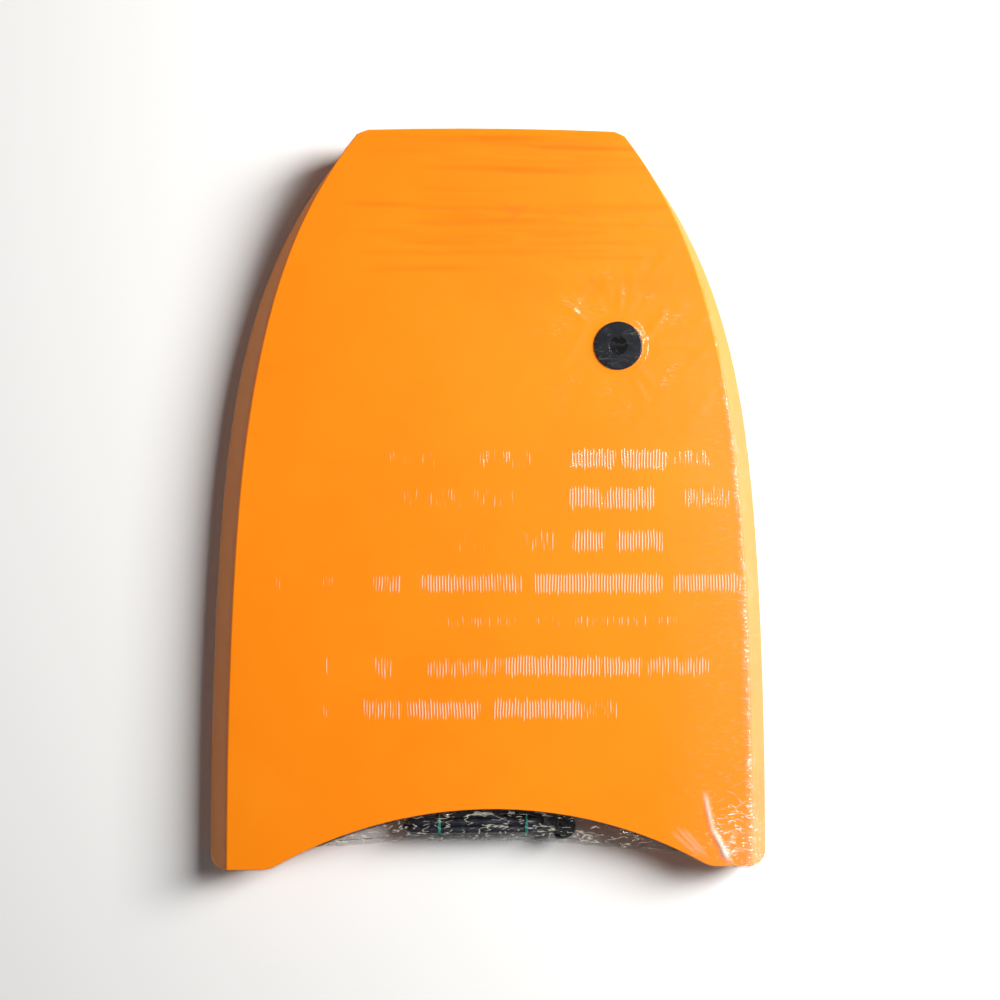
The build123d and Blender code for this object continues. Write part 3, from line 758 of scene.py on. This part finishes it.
    links.new(milky_and_glare_amount.outputs["Fac"], painted_glints_and_whitish_film.inputs[1])
    links.new(painted_glints_and_whitish_film.outputs["Value"], milky_and_glare.inputs["Fac"])
    links.new(clear.outputs["BSDF"], milky_and_glare.inputs[1])
    links.new(white.outputs["BSDF"], milky_and_glare.inputs[2])
    links.new(gloss.outputs["BSDF"], sheen.inputs[1])
    links.new(haze.outputs["BSDF"], sheen.inputs[2])
    links.new(turned.outputs["Facing"], steep.inputs[0])
    links.new(steep.outputs["Value"], mirror.inputs[0])
    links.new(mirror.outputs["Value"], film.inputs["Fac"])
    links.new(milky_and_glare.outputs["Shader"], film.inputs[1])
    links.new(sheen.outputs["Shader"], film.inputs[2])
    links.new(film.outputs["Shader"], output.inputs["Surface"])
    return material


def film_inside_material():
    """The film's inner face: nearly clear, because the outer face carries the gloss."""
    material = bpy.data.materials.new("film_inside")
    material.use_nodes = True
    nodes, links = material.node_tree.nodes, material.node_tree.links
    nodes.clear()
    output = nodes.new("ShaderNodeOutputMaterial")
    output.label, output.location = "Inner face", (600, 0)
    clear = nodes.new("ShaderNodeBsdfTransparent")
    clear.label, clear.location = "Clear film", (0, 100)
    gloss = nodes.new("ShaderNodeBsdfGlossy")
    gloss.label, gloss.location = "Faint gloss", (0, -100)
    gloss.inputs["Roughness"].default_value = 0.3
    film = nodes.new("ShaderNodeMixShader")
    film.label, film.location = "Film", (300, 0)
    film.inputs["Fac"].default_value = 0.01
    links.new(clear.outputs["BSDF"], film.inputs[1])
    links.new(gloss.outputs["BSDF"], film.inputs[2])
    links.new(film.outputs["Shader"], output.inputs["Surface"])
    return material


# ---- Foam ----
def soften(node, name, radius):
    """A foam piece with its edges rounded over."""
    piece = traced(node, name)
    apply_modifier(
        piece, "BEVEL", width=radius, segments=3, limit_method="ANGLE", angle_limit=math.radians(32),
        use_clamp_overlap=True,
    )
    smooth(piece, 40)
    apply_modifier(piece, "WEIGHTED_NORMAL", keep_sharp=True)
    return piece


# ---- Film ----
# Long creases of the film on the deck, in mm: start, end, width and height.
LONG_CREASES = [
    ((155, 19), (216, 11), 1.8, 0.5),
    ((193, -262), (201, -300), 1.9, 1.3),
    ((200, -294), (216, -326), 2.3, 1.6),
    ((163, -298), (188, -320), 1.3, 0.4),
    ((168, -294), (192, -320), 1.2, 0.5),
    ((174, -295), (197, -322), 1.2, 0.4),
    ((222, -298), (208, -320), 1.6, 0.6),
    ((228, -312), (208, -322), 1.6, 0.6),
    ((150, -232), (190, -280), 3.0, 0.5),
    ((60, -250), (20, -284), 4.0, 0.4),
]
GATHERED = LONG_CREASES[1:8]  # at the corner, where the layers of film lie together: their whiteness is partly the stacked film and partly a painted highlight

# Rows of heat ripples, in mm: middle, half height, and its spans with how strong each is.
RIPPLE_ROWS = [
    (38, 8, [(-93, -43, 0.35), (-16, 40, 0.5), (72, 113, 0.9), (118, 160, 1.0), (164, 200, 0.55)]),
    (3, 9, [(-79, -25, 0.4), (-16, 29, 0.4), (70, 101, 0.9), (103, 148, 1.0), (173, 218, 0.6)]),
    (-36, 9, [(-61, 29, 0.25), (29, 65, 0.5), (74, 103, 0.85), (114, 156, 0.9)]),
    (-74, 8, [(-197, -183, 0.4), (-152, -138, 0.5), (-107, -79, 0.7), (-66, 29, 0.75), (38, 155, 1.0),
              (163, 226, 0.8)]),
    (-108, 5, [(-52, 65, 0.4), (74, 173, 0.5)]),
    (-149, 8, [(-152, -143, 0.5), (-107, -88, 0.6), (-57, 11, 0.65), (12, 100, 1.0), (101, 137, 0.9),
               (140, 200, 0.7)]),
    (-187, 8, [(-156, -143, 0.5), (-115, -79, 0.7), (-75, -7, 0.8), (2, 83, 0.9), (84, 119, 0.5)]),
]


def outer_wall(node, name):
    """The outer wall of a film half, as an open sheet with its edges rounded over."""
    piece = traced(node, name)
    middle = Vector((0, 0, 20 * MM))
    select_faces(piece, lambda face: face.normal.dot(face.center - middle) < 0.2 * MM)
    bpy.ops.mesh.delete(type="FACE")
    close_editing()
    apply_modifier(
        piece, "BEVEL", width=2 * MM, segments=2, limit_method="ANGLE", angle_limit=math.radians(32)
    )
    return piece


def smooth_noise(points, size, seed):
    """Noise from -1 to 1 at each point, with lumps of about this size."""
    shift = Vector((seed * 7.31, seed * 3.77, seed * 1.93))
    return np.array([noise.noise(Vector(point) / size + shift) for point in points])


def crease(points, start, end, width, height):
    """A ridge between two points seen from above, fading at both ends."""
    start, end = np.array(start), np.array(end)
    run = end - start
    along = ((points[:, :2] - start) @ run) / (run @ run)
    inside = np.clip(along, 0, 1)
    away = np.linalg.norm(points[:, :2] - start - inside[:, None] * run, axis=1)
    fade = np.clip(np.minimum(along, 1 - along) * 4 + 0.15, 0, 1)
    return height * fade * np.exp(-((away / width) ** 2))


def deck_edge(points):
    """How far each point is inside the deck's right-hand edge, from the deck's own outline."""
    outline = read_points(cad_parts["deck_skin"])
    outline = outline[(outline[:, 0] > 0) & (outline[:, 2] > deck_z - 0.1 * MM)]
    bins = np.linspace(tail_y, nose_y, 34)
    middles = (bins[1:] + bins[:-1]) / 2
    edge = []
    for low, high in zip(bins, bins[1:]):
        near = outline[(outline[:, 1] >= low - 12 * MM) & (outline[:, 1] <= high + 12 * MM)]
        edge.append(near[:, 0].max() if len(near) else 0.1)
    return np.interp(points[:, 1], middles, edge) - points[:, 0]


def nose_streaks(seed):
    """Places of the long shallow wrinkles where the nose is bent up: start, end and strength."""
    draw = random.Random(seed)
    streaks = []
    for _ in range(60):
        y = nose_y - (8 + 132 * draw.random() ** 1.5) * MM
        x = draw.uniform(-130, 60) * MM
        length = draw.uniform(40, 160) * MM
        tilt = draw.uniform(-0.03, 0.03)
        streaks.append(((x, y), (x + length, y + tilt * length), draw.uniform(0.4, 1)))
    return streaks


def make_deck(material):
    """The deck sheet, with shallow wrinkles across it where the nose is bent up, and painted shade in them
    and along its lower side band.
    """
    deck = soften("deck_skin", "deck_sheet", 1.2 * MM)
    cut_across(deck, "y", steps(nose_y - 130 * MM, nose_y, 1.7 * MM))
    cut_across(deck, "x", steps(-150 * MM, 150 * MM, 12 * MM))
    points = read_points(deck)
    upper = points[:, 2] > deck_z - 2 * MM
    dip = np.zeros(len(points))
    for start, end, strength in nose_streaks(5):
        dip += crease(points, start, end, 2.0 * MM, 0.32 * MM * strength)
    points[:, 2] -= np.where(upper, dip, 0)
    write_points(deck, points)
    # Painted shade: the wrinkles' depth and the band below the deck's top face are stored to darken the
    # foam's colour there, standing in for their shadow.
    side = np.clip((deck_z - 1 * MM - points[:, 2]) / MM, 0, 1) * (points[:, 1] < 0.2)
    paint(deck, "painted_shade", dip / (1.1 * MM) + side)
    smooth(deck, 40)
    apply_modifier(deck, "WEIGHTED_NORMAL", keep_sharp=True)
    return finish_piece(deck, "board", "deck_foam", material, "deck_skin")


def film_relief(points):
    """How far the film stands off its smooth shape at each point."""
    draw = random.Random(11)
    lift = 0.22 * MM * smooth_noise(points, 34 * MM, 1)
    lift += 0.08 * MM * smooth_noise(points, 13 * MM, 2)
    for start, end, strength in nose_streaks(8):
        lift += crease(points, start, end, 2.8 * MM, 0.25 * MM * strength)

    # Creases that run out from the leash plug.
    for _ in range(26):
        angle = draw.uniform(0, 2 * math.pi)
        inner = plug_radius + draw.uniform(4, 14) * MM
        outer = inner + draw.uniform(14, 50) * MM
        start = (plug_x + inner * math.cos(angle), plug_y + inner * math.sin(angle))
        end = (plug_x + outer * math.cos(angle), plug_y + outer * math.sin(angle))
        lift += crease(points, start, end, draw.uniform(2.2, 4) * MM, draw.uniform(0.15, 0.4) * MM)

    # Slack creases that slope up to the right, beside and below the plug.
    for _ in range(40):
        x, y = draw.uniform(0, 190) * MM, draw.uniform(50, 215) * MM
        length, slope = draw.uniform(14, 60) * MM, draw.uniform(0.35, 1.1)
        end = (x + length * math.cos(slope), y + length * math.sin(slope))
        lift += crease(points, (x, y), end, draw.uniform(2.2, 3.6) * MM, draw.uniform(0.15, 0.45) * MM)
    for start, end, width, height in LONG_CREASES:
        lift += crease(points, np.array(start) * MM, np.array(end) * MM, width * MM, height * MM)

    # The corner where the surplus film is gathered.
    distance, angle = from_corner(points)
    fan = np.abs(np.sin(angle * 11 + 1.5 * smooth_noise(points, 22 * MM, 4)))
    lift += 0.9 * MM * (1 - fan) * np.exp(-((distance / (48 * MM)) ** 2))
    return lift


def from_corner(points):
    """Distance and direction of each point from the corner where the surplus film is gathered."""
    corner = np.array((deck_high.x - 6 * MM, tail_y + 6 * MM))
    away = points[:, :2] - corner
    return np.hypot(away[:, 0], away[:, 1]), np.arctan2(away[:, 1], away[:, 0])


def rippled_places(points):
    """How strong the heat ripples are at each point of the deck's film."""
    amount = np.zeros(len(points))
    for y, half, spans in RIPPLE_ROWS:
        off_row = np.abs(points[:, 1] - y * MM - 1.5 * MM * smooth_noise(points, 60 * MM, y)) / (half * MM)
        for start, end, strength in spans:
            inside = np.minimum(points[:, 0] - start * MM, end * MM - points[:, 0]) / (3 * MM)
            amount = np.maximum(amount, strength * np.clip(1.6 - off_row, 0, 1) * np.clip(inside + 0.5, 0, 1))
    return np.where(points[:, 2] > deck_z - 0.5 * MM, amount, 0)


def seam_places(points):
    """How near each point is to the line where the film is drawn over the deck's right-hand rim."""
    near = np.exp(-(((deck_edge(points) - 2.5 * MM) / (2.4 * MM)) ** 2))
    ends = np.clip((0.12 - points[:, 1]) / (60 * MM), 0, 1)
    return np.where(points[:, 2] > deck_z - 5 * MM, near * ends, 0)


def on_right_rail(points):
    """1 on the right-hand rail, fading towards the nose: where the film is gathered, and whitened as painted
    glare for the lamp's reflection off it.
    """
    beside = (deck_edge(points) < 1 * MM) & (points[:, 0] > 0) & (points[:, 1] > tail_y + 2 * MM)
    return np.where(beside, 1, 0) * np.clip((0.32 - points[:, 1]) / 0.25, 0, 1)


def near_leash(points):
    """1 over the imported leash, behind the deck's hollowed tail edge, fading out towards both tail tips."""
    outline = read_points(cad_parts["deck_skin"])
    at_tail = (outline[:, 1] < tail_y + 70 * MM) & (outline[:, 2] > deck_z - 0.1 * MM)
    tail_edge = outline[at_tail & (np.abs(outline[:, 0]) < 195 * MM)]
    tail_edge = tail_edge[np.argsort(tail_edge[:, 0])]
    behind = np.interp(points[:, 0], tail_edge[:, 0], tail_edge[:, 1]) - points[:, 1]
    off_middle = np.abs(points[:, 0] + 5 * MM)
    return np.clip(behind / (4 * MM), 0, 1) * np.clip((175 * MM - off_middle) / (40 * MM), 0, 1)


def add_wall(piece, body, material, inside_material, node):
    """Gives the film its thickness, inwards, with the plainer material on its inner face."""
    piece.data.materials.clear()
    piece.data.materials.append(material)
    piece.data.materials.append(inside_material)
    apply_modifier(piece, "SOLIDIFY", thickness=0.1 * MM, offset=-1, material_offset=1)
    smooth(piece, 50)
    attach(piece, body)
    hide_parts(node)
    return piece


def film_rows(low, high, *finer):
    """Places for the film's rows, closer together inside the finer spans."""
    rows = [row for row in steps(low, high, 3.7 * MM) if not any(start < row < end for start, end in finer)]
    for start, end in finer:
        rows += steps(start, end, 2.2 * MM)
    return rows


def make_film_deck(material, inside_material):
    """The film's upper half, with its creases, and finer rows near the plug and the gathered corner."""
    film = outer_wall("film_upper", "film_deck")
    beside_plug = (plug_x - 50 * MM, plug_x + 50 * MM)
    cut_across(film, "x", film_rows(film_low.x, film_high.x, beside_plug, (160 * MM, 224 * MM)))
    past_plug = (plug_y - 50 * MM, plug_y + 50 * MM)
    cut_across(film, "y", film_rows(film_low.y, film_high.y, past_plug, (-329 * MM, -262 * MM)))
    points = read_points(film)
    normals = np.array([vertex.normal[:] for vertex in film.data.vertices])
    seam, leash = seam_places(points), near_leash(points)
    slack = 1 - 2 * np.abs(smooth_noise(points, 15 * MM, 6))
    slack += 0.5 * (1 - 2 * np.abs(smooth_noise(points, 7 * MM, 7)))
    pleat = 0.6 + 0.4 * np.sin(points[:, 1] / (0.9 * MM) + 3 * smooth_noise(points, 9 * MM, 3))
    lift = film_relief(points) + 0.9 * MM * leash * slack + 0.9 * MM * seam * pleat - 0.35 * MM

    distance, _ = from_corner(points)
    corner = np.exp(-((distance / (34 * MM)) ** 2))
    away = np.hypot(points[:, 0] - plug_x, points[:, 1] - plug_y)
    over_plug = np.clip((plug_radius + 10 * MM - away) / (12 * MM), 0, 1)
    patches = np.clip(smooth_noise(points, 12 * MM, 12) * 3, 0, 1)
    round_plug = np.exp(-(((away - 45 * MM) / (22 * MM)) ** 2)) * np.clip(patches * 2 - 1, 0, 1)
    right = np.clip((points[:, 0] - 150 * MM) / (80 * MM), 0, 1) * np.clip((0.16 - points[:, 1]) / 0.1, 0, 1)
    rail = on_right_rail(points)
    paint(film, "rippled", rippled_places(points))
    strokes_x, strokes_y = (points[:, 0] - 217 * MM) / (17 * MM), (points[:, 1] + 293 * MM) / (24 * MM)
    strokes = np.exp(-(strokes_x**2) - strokes_y**2)
    # The crumple amounts also set the white fold crests, which are painted glints: the strokes near the
    # corner, the right-hand side and the rail carry them.
    crumpled = 0.04 * over_plug + 0.2 * round_plug + 0.6 * seam + 0.5 * corner + 0.6 * leash + 0.1 * right
    paint(film, "crumpled", crumpled + 0.15 * rail + 0.7 * strokes)
    gathered = np.zeros(len(points))
    for start, end, width, height in GATHERED:
        gathered += crease(points, np.array(start) * MM, np.array(end) * MM, width * MM, height / 1.6)
    # Whitening: painted glare on the lit right rail and the right-hand side, painted glints along the seam's
    # pleats, and at the corner partly stacked film, partly painted highlight.
    paint(film, "milky_and_glare", 0.05 * rail + 0.15 * seam * pleat + 0.03 * corner + 0.7 * gathered + 0.02 * right)
    write_points(film, points + normals * lift[:, None])
    return add_wall(film, "film", material, inside_material, "film_upper")


def make_film_under(material, inside_material):
    """The film's lower half, slack under the tail's crescent."""
    film = outer_wall("film_lower", "film_under")
    cut_across(film, "x", steps(film_low.x, film_high.x, 7 * MM))
    cut_across(film, "y", steps(film_low.y, film_high.y, 7 * MM))
    points = read_points(film)
    normals = np.array([vertex.normal[:] for vertex in film.data.vertices])
    lift = 0.25 * MM * smooth_noise(points, 28 * MM, 9) - 0.3 * MM
    raised = np.clip(points[:, 2] / (3 * MM), 0, 1)  # the face it lies on stays flat
    lift += raised * 0.3 * MM * smooth_noise(points, 11 * MM, 10)
    leash = near_leash(points)
    rail = on_right_rail(points) * (np.abs(normals[:, 2]) < 0.9)
    paint(film, "rippled", np.zeros(len(points)))
    # The crumple amount also sets painted glints on the fold crests; the whitening on the rail is painted
    # glare from the lamp.
    paint(film, "crumpled", 0.06 + 0.6 * leash + 0.2 * rail)
    paint(film, "milky_and_glare", 0.1 * rail)
    points += normals * lift[:, None]
    points[:, 2] = np.maximum(points[:, 2], 0.05 * MM)
    write_points(film, points)
    return add_wall(film, "board", material, inside_material, "film_lower")


# ---- Packed leash ----
CORD_RADIUS = 3.25 * MM
WALL_ROW, FILM_ROW = hank_high.y - CORD_RADIUS, hank_low.y + CORD_RADIUS
SWIVEL_Y, PLUG_SWIVEL_Z = -284 * MM, 34.15 * MM
STRING_FAR_Y = -285.6 * MM  # the middle of the string loop's far end


def hank_turn(row_from, row_to, inset_from, inset_to):
    """One turn of the hank, from the top strand's middle, round the left end and back."""
    middle_x, middle_z = (hank_low.x + hank_high.x) / 2, (hank_low.z + hank_high.z) / 2
    end_radius = (hank_high.z - hank_low.z) / 2
    straight = (hank_high.x - hank_low.x) / 2 - end_radius
    places = [(share * straight, 90) for share in (0.5, 0.0, -0.5)]
    places += [(-straight, angle) for angle in range(90, 271, 30)]
    places += [(share * straight, 270) for share in (-0.5, 0.0, 0.5)]
    places += [(straight, angle) for angle in range(270, 451, 30)]
    route = []
    for i, (x, angle) in enumerate(places):
        share = min(1.0, max(0.0, i / len(places) * 1.6 - 0.6))
        row = row_from + (row_to - row_from) * share
        inset = inset_from + (inset_to - inset_from) * share
        radius = end_radius - inset
        swell = 1.035 if x in (-straight, straight) else 1.0  # the smooth line cuts inside the folds' points
        turned = math.radians(angle)
        route.append(
            (
                middle_x + x + radius * swell * math.cos(turned),
                row + 0.25 * MM * math.sin(2.1 * i + 40 * inset),
                middle_z + radius * math.sin(turned),
            )
        )
    return route


def make_cord(material):
    """The leash's cord: from the cuff's ferrule, four turns of the hank, and out to the plug's ferrule."""
    outer, inner = CORD_RADIUS, 3.1 * CORD_RADIUS
    exit_point = (17.0 * MM - 0.2 * MM, SWIVEL_Y, 20.4 * MM)
    out_of_cuff = [exit_point, (5 * MM, SWIVEL_Y, 21.6 * MM), (-10 * MM, WALL_ROW, 25.6 * MM)]
    into_plug = [(15 * MM, WALL_ROW, PLUG_SWIVEL_Z), (0, SWIVEL_Y, PLUG_SWIVEL_Z)]
    into_plug.append((-11.8 * MM, SWIVEL_Y, PLUG_SWIVEL_Z))
    route = list(out_of_cuff)
    route += hank_turn(WALL_ROW, FILM_ROW, inner, inner)[2:]
    route += hank_turn(FILM_ROW, FILM_ROW, inner, outer)
    route += hank_turn(FILM_ROW, WALL_ROW, outer, outer)
    route += hank_turn(WALL_ROW, WALL_ROW, outer, outer)
    route += into_plug
    line = bpy.data.curves.new("leash_cord", "CURVE")
    line.dimensions = "3D"
    spline = line.splines.new("NURBS")
    spline.points.add(len(route) - 1)
    for point, place in zip(spline.points, route):
        point.co = (*place, 1)
    spline.order_u = 3
    spline.use_endpoint_u = True
    spline.resolution_u = 6
    line.bevel_depth = CORD_RADIUS
    line.bevel_resolution = 6
    line.use_fill_caps = True
    cord = bpy.data.objects.new("leash_cord", line)
    bpy.context.scene.collection.objects.link(cord)
    cord.data.materials.append(material)
    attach(cord, "leash")
    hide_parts("leash_hank", "cord_to_cuff", "cord_to_plug")
    return cord


def make_string(braid):
    """The braided string that ties the leash to its plug, looped through the swivel's ring."""
    low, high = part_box("plug_string_loop")
    radius, z = (high.z - low.z) / 2, (high.z + low.z) / 2
    string = traced("plug_string_loop", "plug_string")
    layer = string.data.uv_layers.new(name="braid")
    for loop in string.data.loops:
        point = string.data.vertices[loop.vertex_index].co
        round_it = math.atan2(point.z - z, abs(point.y + 284.8 * MM) - 1.5 * radius) / (2 * math.pi)
        layer.data[loop.index].uv = (point.x / (20 * MM), round_it)
    smooth(string, 60)
    finish_piece(string, "leash", "string", braid, "plug_string_loop")
    far, near, side = low.x + radius, high.x - radius, 2.0 * MM
    path = [(near - side, SWIVEL_Y - side, z), (far + side, STRING_FAR_Y - side, z), (far, STRING_FAR_Y, z)]
    path += [(far + side, STRING_FAR_Y + side, z), (near - side, SWIVEL_Y + side, z), (near, SWIVEL_Y, z)]
    return string


def make_roll(strap_cloth):
    """The wrist strap, rolled up on its edge: a long strip, warped to a spiral and thickened."""
    thickness, between, turns, strip_steps = 2.3 * MM, 0.25 * MM, 3.6, 220
    middle = (roll_low + roll_high) / 2
    height = roll_high.z - roll_low.z
    outer = (roll_high.y - roll_low.y) / 2 - thickness / 2
    stretch = (roll_high.x - roll_low.x) / (roll_high.y - roll_low.y)
    bpy.ops.object.select_all(action="DESELECT")
    bpy.ops.mesh.primitive_grid_add(x_subdivisions=strip_steps, y_subdivisions=14, size=2, calc_uvs=True)
    roll = bpy.context.object
    roll.name = "cuff_strap"
    points = read_points(roll)
    along = (points[:, 0] + 1) / 2
    radius = outer - along * turns * (thickness + between)
    angle = -0.5 * math.pi + along * turns * 2 * math.pi
    wobble = 0.15 * MM * np.sin(angle * 2.3)
    points[:, 0] = middle.x + (radius + wobble) * np.cos(angle) * stretch
    edge = 0.35 * MM * np.sin(angle * 1.7)
    up = points[:, 1] * (height / 2 - 0.6 * MM)
    points[:, 1] = middle.y + (radius + wobble) * np.sin(angle)
    points[:, 2] = middle.z + up + edge
    write_points(roll, points)
    apply_modifier(roll, "SOLIDIFY", thickness=thickness, offset=0, use_even_offset=True)
    apply_modifier(
        roll, "BEVEL", width=0.5 * MM, segments=2, limit_method="ANGLE", angle_limit=math.radians(50)
    )
    open_for_editing(roll)
    bpy.ops.mesh.normals_make_consistent(inside=False)
    close_editing()
    smooth(roll, 45)
    return finish_piece(roll, "leash", "strap", strap_cloth, "cuff_roll")


def strip(name, along_count, across_count):
    """A flat grid from 0 to 1 along X and -1 to 1 across Y, to be wrapped into a strap or tie."""
    bpy.ops.object.select_all(action="DESELECT")
    bpy.ops.mesh.primitive_grid_add(x_subdivisions=along_count, y_subdivisions=across_count, size=2)
    piece = bpy.context.object
    piece.name = name
    points = read_points(piece)
    points[:, 0] = (points[:, 0] + 1) / 2
    write_points(piece, points)
    return piece


def make_tie(node, material):
    """A twist tie: a plastic strip with a wire down its middle, round the hank and twisted at the top."""
    low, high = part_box(node)
    middle_x, half_width = (low.x + high.x) / 2, 1.2 * MM
    corner, twist_length, half_turns = CORD_RADIUS, 7 * MM, 5
    twist_y, twist_z = low.y + 11.6 * MM, high.z - 0.85 * MM
    middle_y, middle_z = (hank_low.y + hank_high.y) / 2, (hank_low.z + hank_high.z) / 2
    flat_y = (hank_high.y - hank_low.y) / 2 + 0.15 * MM - corner
    flat_z = (hank_high.z - hank_low.z) / 2 + 0.15 * MM - corner
    band = strip(node + "_band", 120, 8)
    points = read_points(band)
    across = points[:, 1].copy()
    angle = points[:, 0] * 2 * math.pi
    square_y = np.clip(np.cos(angle) * 1.6, -1, 1)
    square_z = np.clip(np.sin(angle) * 1.6, -1, 1)
    rise = 0.35 * MM * np.exp(-((across / 0.3) ** 2))
    points[:, 0] = middle_x + across * half_width
    points[:, 1] = middle_y + square_y * flat_y + (corner + rise) * np.cos(angle)
    points[:, 2] = middle_z + square_z * flat_z + (corner + rise) * np.sin(angle)
    write_points(band, points)
    twisted = [band]
    for start in (0, math.pi):
        end = strip(node + "_end", 60, 4)
        points = read_points(end)
        turn = start + points[:, 0] * half_turns * math.pi
        along, across = points[:, 0].copy(), points[:, 1].copy()
        points[:, 0] = middle_x + 0.35 * MM * np.cos(turn) + 0.5 * MM * across * np.cos(turn + 1.4)
        points[:, 1] = twist_y + along * twist_length
        points[:, 2] = twist_z + 0.3 * MM * np.sin(turn) + 0.4 * MM * across * np.sin(turn + 1.4)
        write_points(end, points)
        twisted.append(end)
    bpy.ops.object.select_all(action="DESELECT")
    for piece in twisted:
        piece.select_set(True)
    bpy.context.view_layer.objects.active = band
    bpy.ops.object.join()
    open_for_editing(band)
    bpy.ops.mesh.remove_doubles(threshold=0.02 * MM)
    bpy.ops.mesh.normals_make_consistent(inside=False)
    close_editing()
    apply_modifier(band, "SOLIDIFY", thickness=0.28 * MM, offset=0)
    smooth(band, 50)
    return finish_piece(band, "leash", "twist_tie", material, node)


def spread_cloth(piece, middle):
    """A UV map for a curved strap that stands on edge: round the middle, and up."""
    layer = piece.data.uv_layers.new(name="cloth")
    radius = (roll_high.y - roll_low.y) / 2
    for loop in piece.data.loops:
        point = piece.data.vertices[loop.vertex_index].co
        angle = math.atan2(point.y - middle.y, point.x - middle.x)
        layer.data[loop.index].uv = (angle * radius / (40 * MM), point.z / (40 * MM))


def make_flap_and_tab(hook_tape, webbing):
    """The strap's hook end round the roll's outside, and the swivel's webbing tab with its stitches."""
    middle = (roll_low + roll_high) / 2
    flap = soften("cuff_hook_flap", "hook_flap", 0.4 * MM)
    cut_across(flap, "z", steps(roll_low.z, roll_high.z, 1.5 * MM))
    spread_cloth(flap, middle)
    points = read_points(flap)
    ripple = 0.12 * MM * smooth_noise(points, 6 * MM, 14)
    points[:, 1] -= np.abs(ripple)
    write_points(flap, points)
    smooth(flap, 45)
    finish_piece(flap, "leash", "hook_tape", hook_tape, "cuff_hook_flap")
    tab = soften("cuff_tab", "webbing_tab", 0.25 * MM)
    spread_cloth(tab, middle)
    finish_piece(tab, "leash", "webbing", webbing, "cuff_tab")
    tab_low, tab_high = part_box("cuff_tab")
    count = 5
    bpy.ops.object.select_all(action="DESELECT")
    for i in range(count):
        for x in (tab_high.x - 5.5 * MM, tab_high.x - 3 * MM):
            z = tab_low.z + (i + 0.5) / count * (tab_high.z - tab_low.z)
            bpy.ops.mesh.primitive_cylinder_add(
                vertices=8, radius=0.18 * MM, depth=1.2 * MM, location=(x, tab_high.y - 0.45 * MM, z)
            )
            stitch = bpy.context.object
            stitch.name = f"stitch_{i}_{round(x / MM)}"
            bpy.ops.object.transform_apply(location=True, rotation=True, scale=True)
            apply_modifier(stitch, "BEVEL", width=0.06 * MM, segments=2)
            smooth(stitch, 60)
            finish_piece(stitch, "leash", "webbing", webbing)


# ---- Build ----
make_stage()
make_camera()
add_softbox(
    "key", place=(1.45, 0.6, 1.55), target=(0, 0, 0), size=(0.8, 1.5), power=93, colour=(1.0, 0.985, 0.96)
)

orange, light_orange = (0.98, 0.245, 0.0), (1.0, 0.275, 0.002)
deck_foam = foam_material("deck_foam", orange, light_orange, 0.09, 0.00008)
rail_foam = foam_material("rail_foam", (0.96, 0.25, 0.004), (1.0, 0.3, 0.02), 0.05, 0.0001)
slick_skin = moulded_plastic("slick_skin", (0.96, 0.24, 0.004), (1.0, 0.28, 0.01), 0.3, 0.004, 0.00004)
plug_black = moulded_plastic("plug_black", (0.003, 0.004, 0.008), (0.009, 0.01, 0.016), 0.24, 0.0006, 0.00001)
swivel_black = moulded_plastic(
    "swivel_black", (0.012, 0.012, 0.015), (0.035, 0.035, 0.04), 0.35, 0.0004, 0.00003
)
tie_green = moulded_plastic("tie_green", (0.01, 0.16, 0.13), (0.03, 0.3, 0.24), 0.4, 0.0005, 0.00004)
steel = wire_material("swivel_steel")
cord_skin = cord_material()
braid = cloth_material("string_braid", (0.012, 0.012, 0.016), (0.04, 0.04, 0.05), 16, 8, 0.0002, 0.1)
strap_cloth = cloth_material("strap_cloth", (0.010, 0.014, 0.034), (0.02, 0.026, 0.055), 150, 40, 0.0002, 0.3)
hook_tape = cloth_material("hook_tape", (0.012, 0.014, 0.02), (0.03, 0.032, 0.042), 60, 40, 0.0003, 0.1)
webbing = cloth_material("webbing", (0.010, 0.011, 0.016), (0.028, 0.03, 0.04), 44, 30, 0.0002, 0.15)
film_skin = film_material("film_skin")
film_inside = film_inside_material()

make_deck(deck_foam)
for side in ("left", "right"):
    rail = soften(f"rail_strip_{side}", f"rail_{side}", 1.4 * MM)
    finish_piece(rail, "board", "rail_foam", rail_foam, f"rail_strip_{side}")
for end in ("nose", "tail"):
    band = soften(f"{end}_strip", f"{end}_band", 1.0 * MM)
    finish_piece(band, "board", "rail_foam", rail_foam, f"{end}_strip")
slick = soften("slick_bottom", "slick_sheet", 0.5 * MM)
finish_piece(slick, "board", "slick", slick_skin, "slick_bottom")

kept = {
    "foam_core": bead_foam_material(),
    "plug_top": plug_black,
    "plug_base": plug_black,
    "plug_crossbar": plug_black,
    "cuff_ferrule": swivel_black,
    "plug_ferrule": swivel_black,
    "cuff_swivel_barrel": swivel_black,
    "plug_swivel_barrel": swivel_black,
    "cuff_swivel_eye": steel,
    "plug_swivel_eye": steel,
}
for node, material in kept.items():
    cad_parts[node].data.materials.clear()
    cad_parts[node].data.materials.append(material)

make_film_deck(film_skin, film_inside)
make_film_under(film_skin, film_inside)
make_cord(cord_skin)
make_string(braid)
make_roll(strap_cloth)
make_flap_and_tab(hook_tape, webbing)
for side in ("left", "right"):
    make_tie(f"twist_tie_{side}", tie_green)
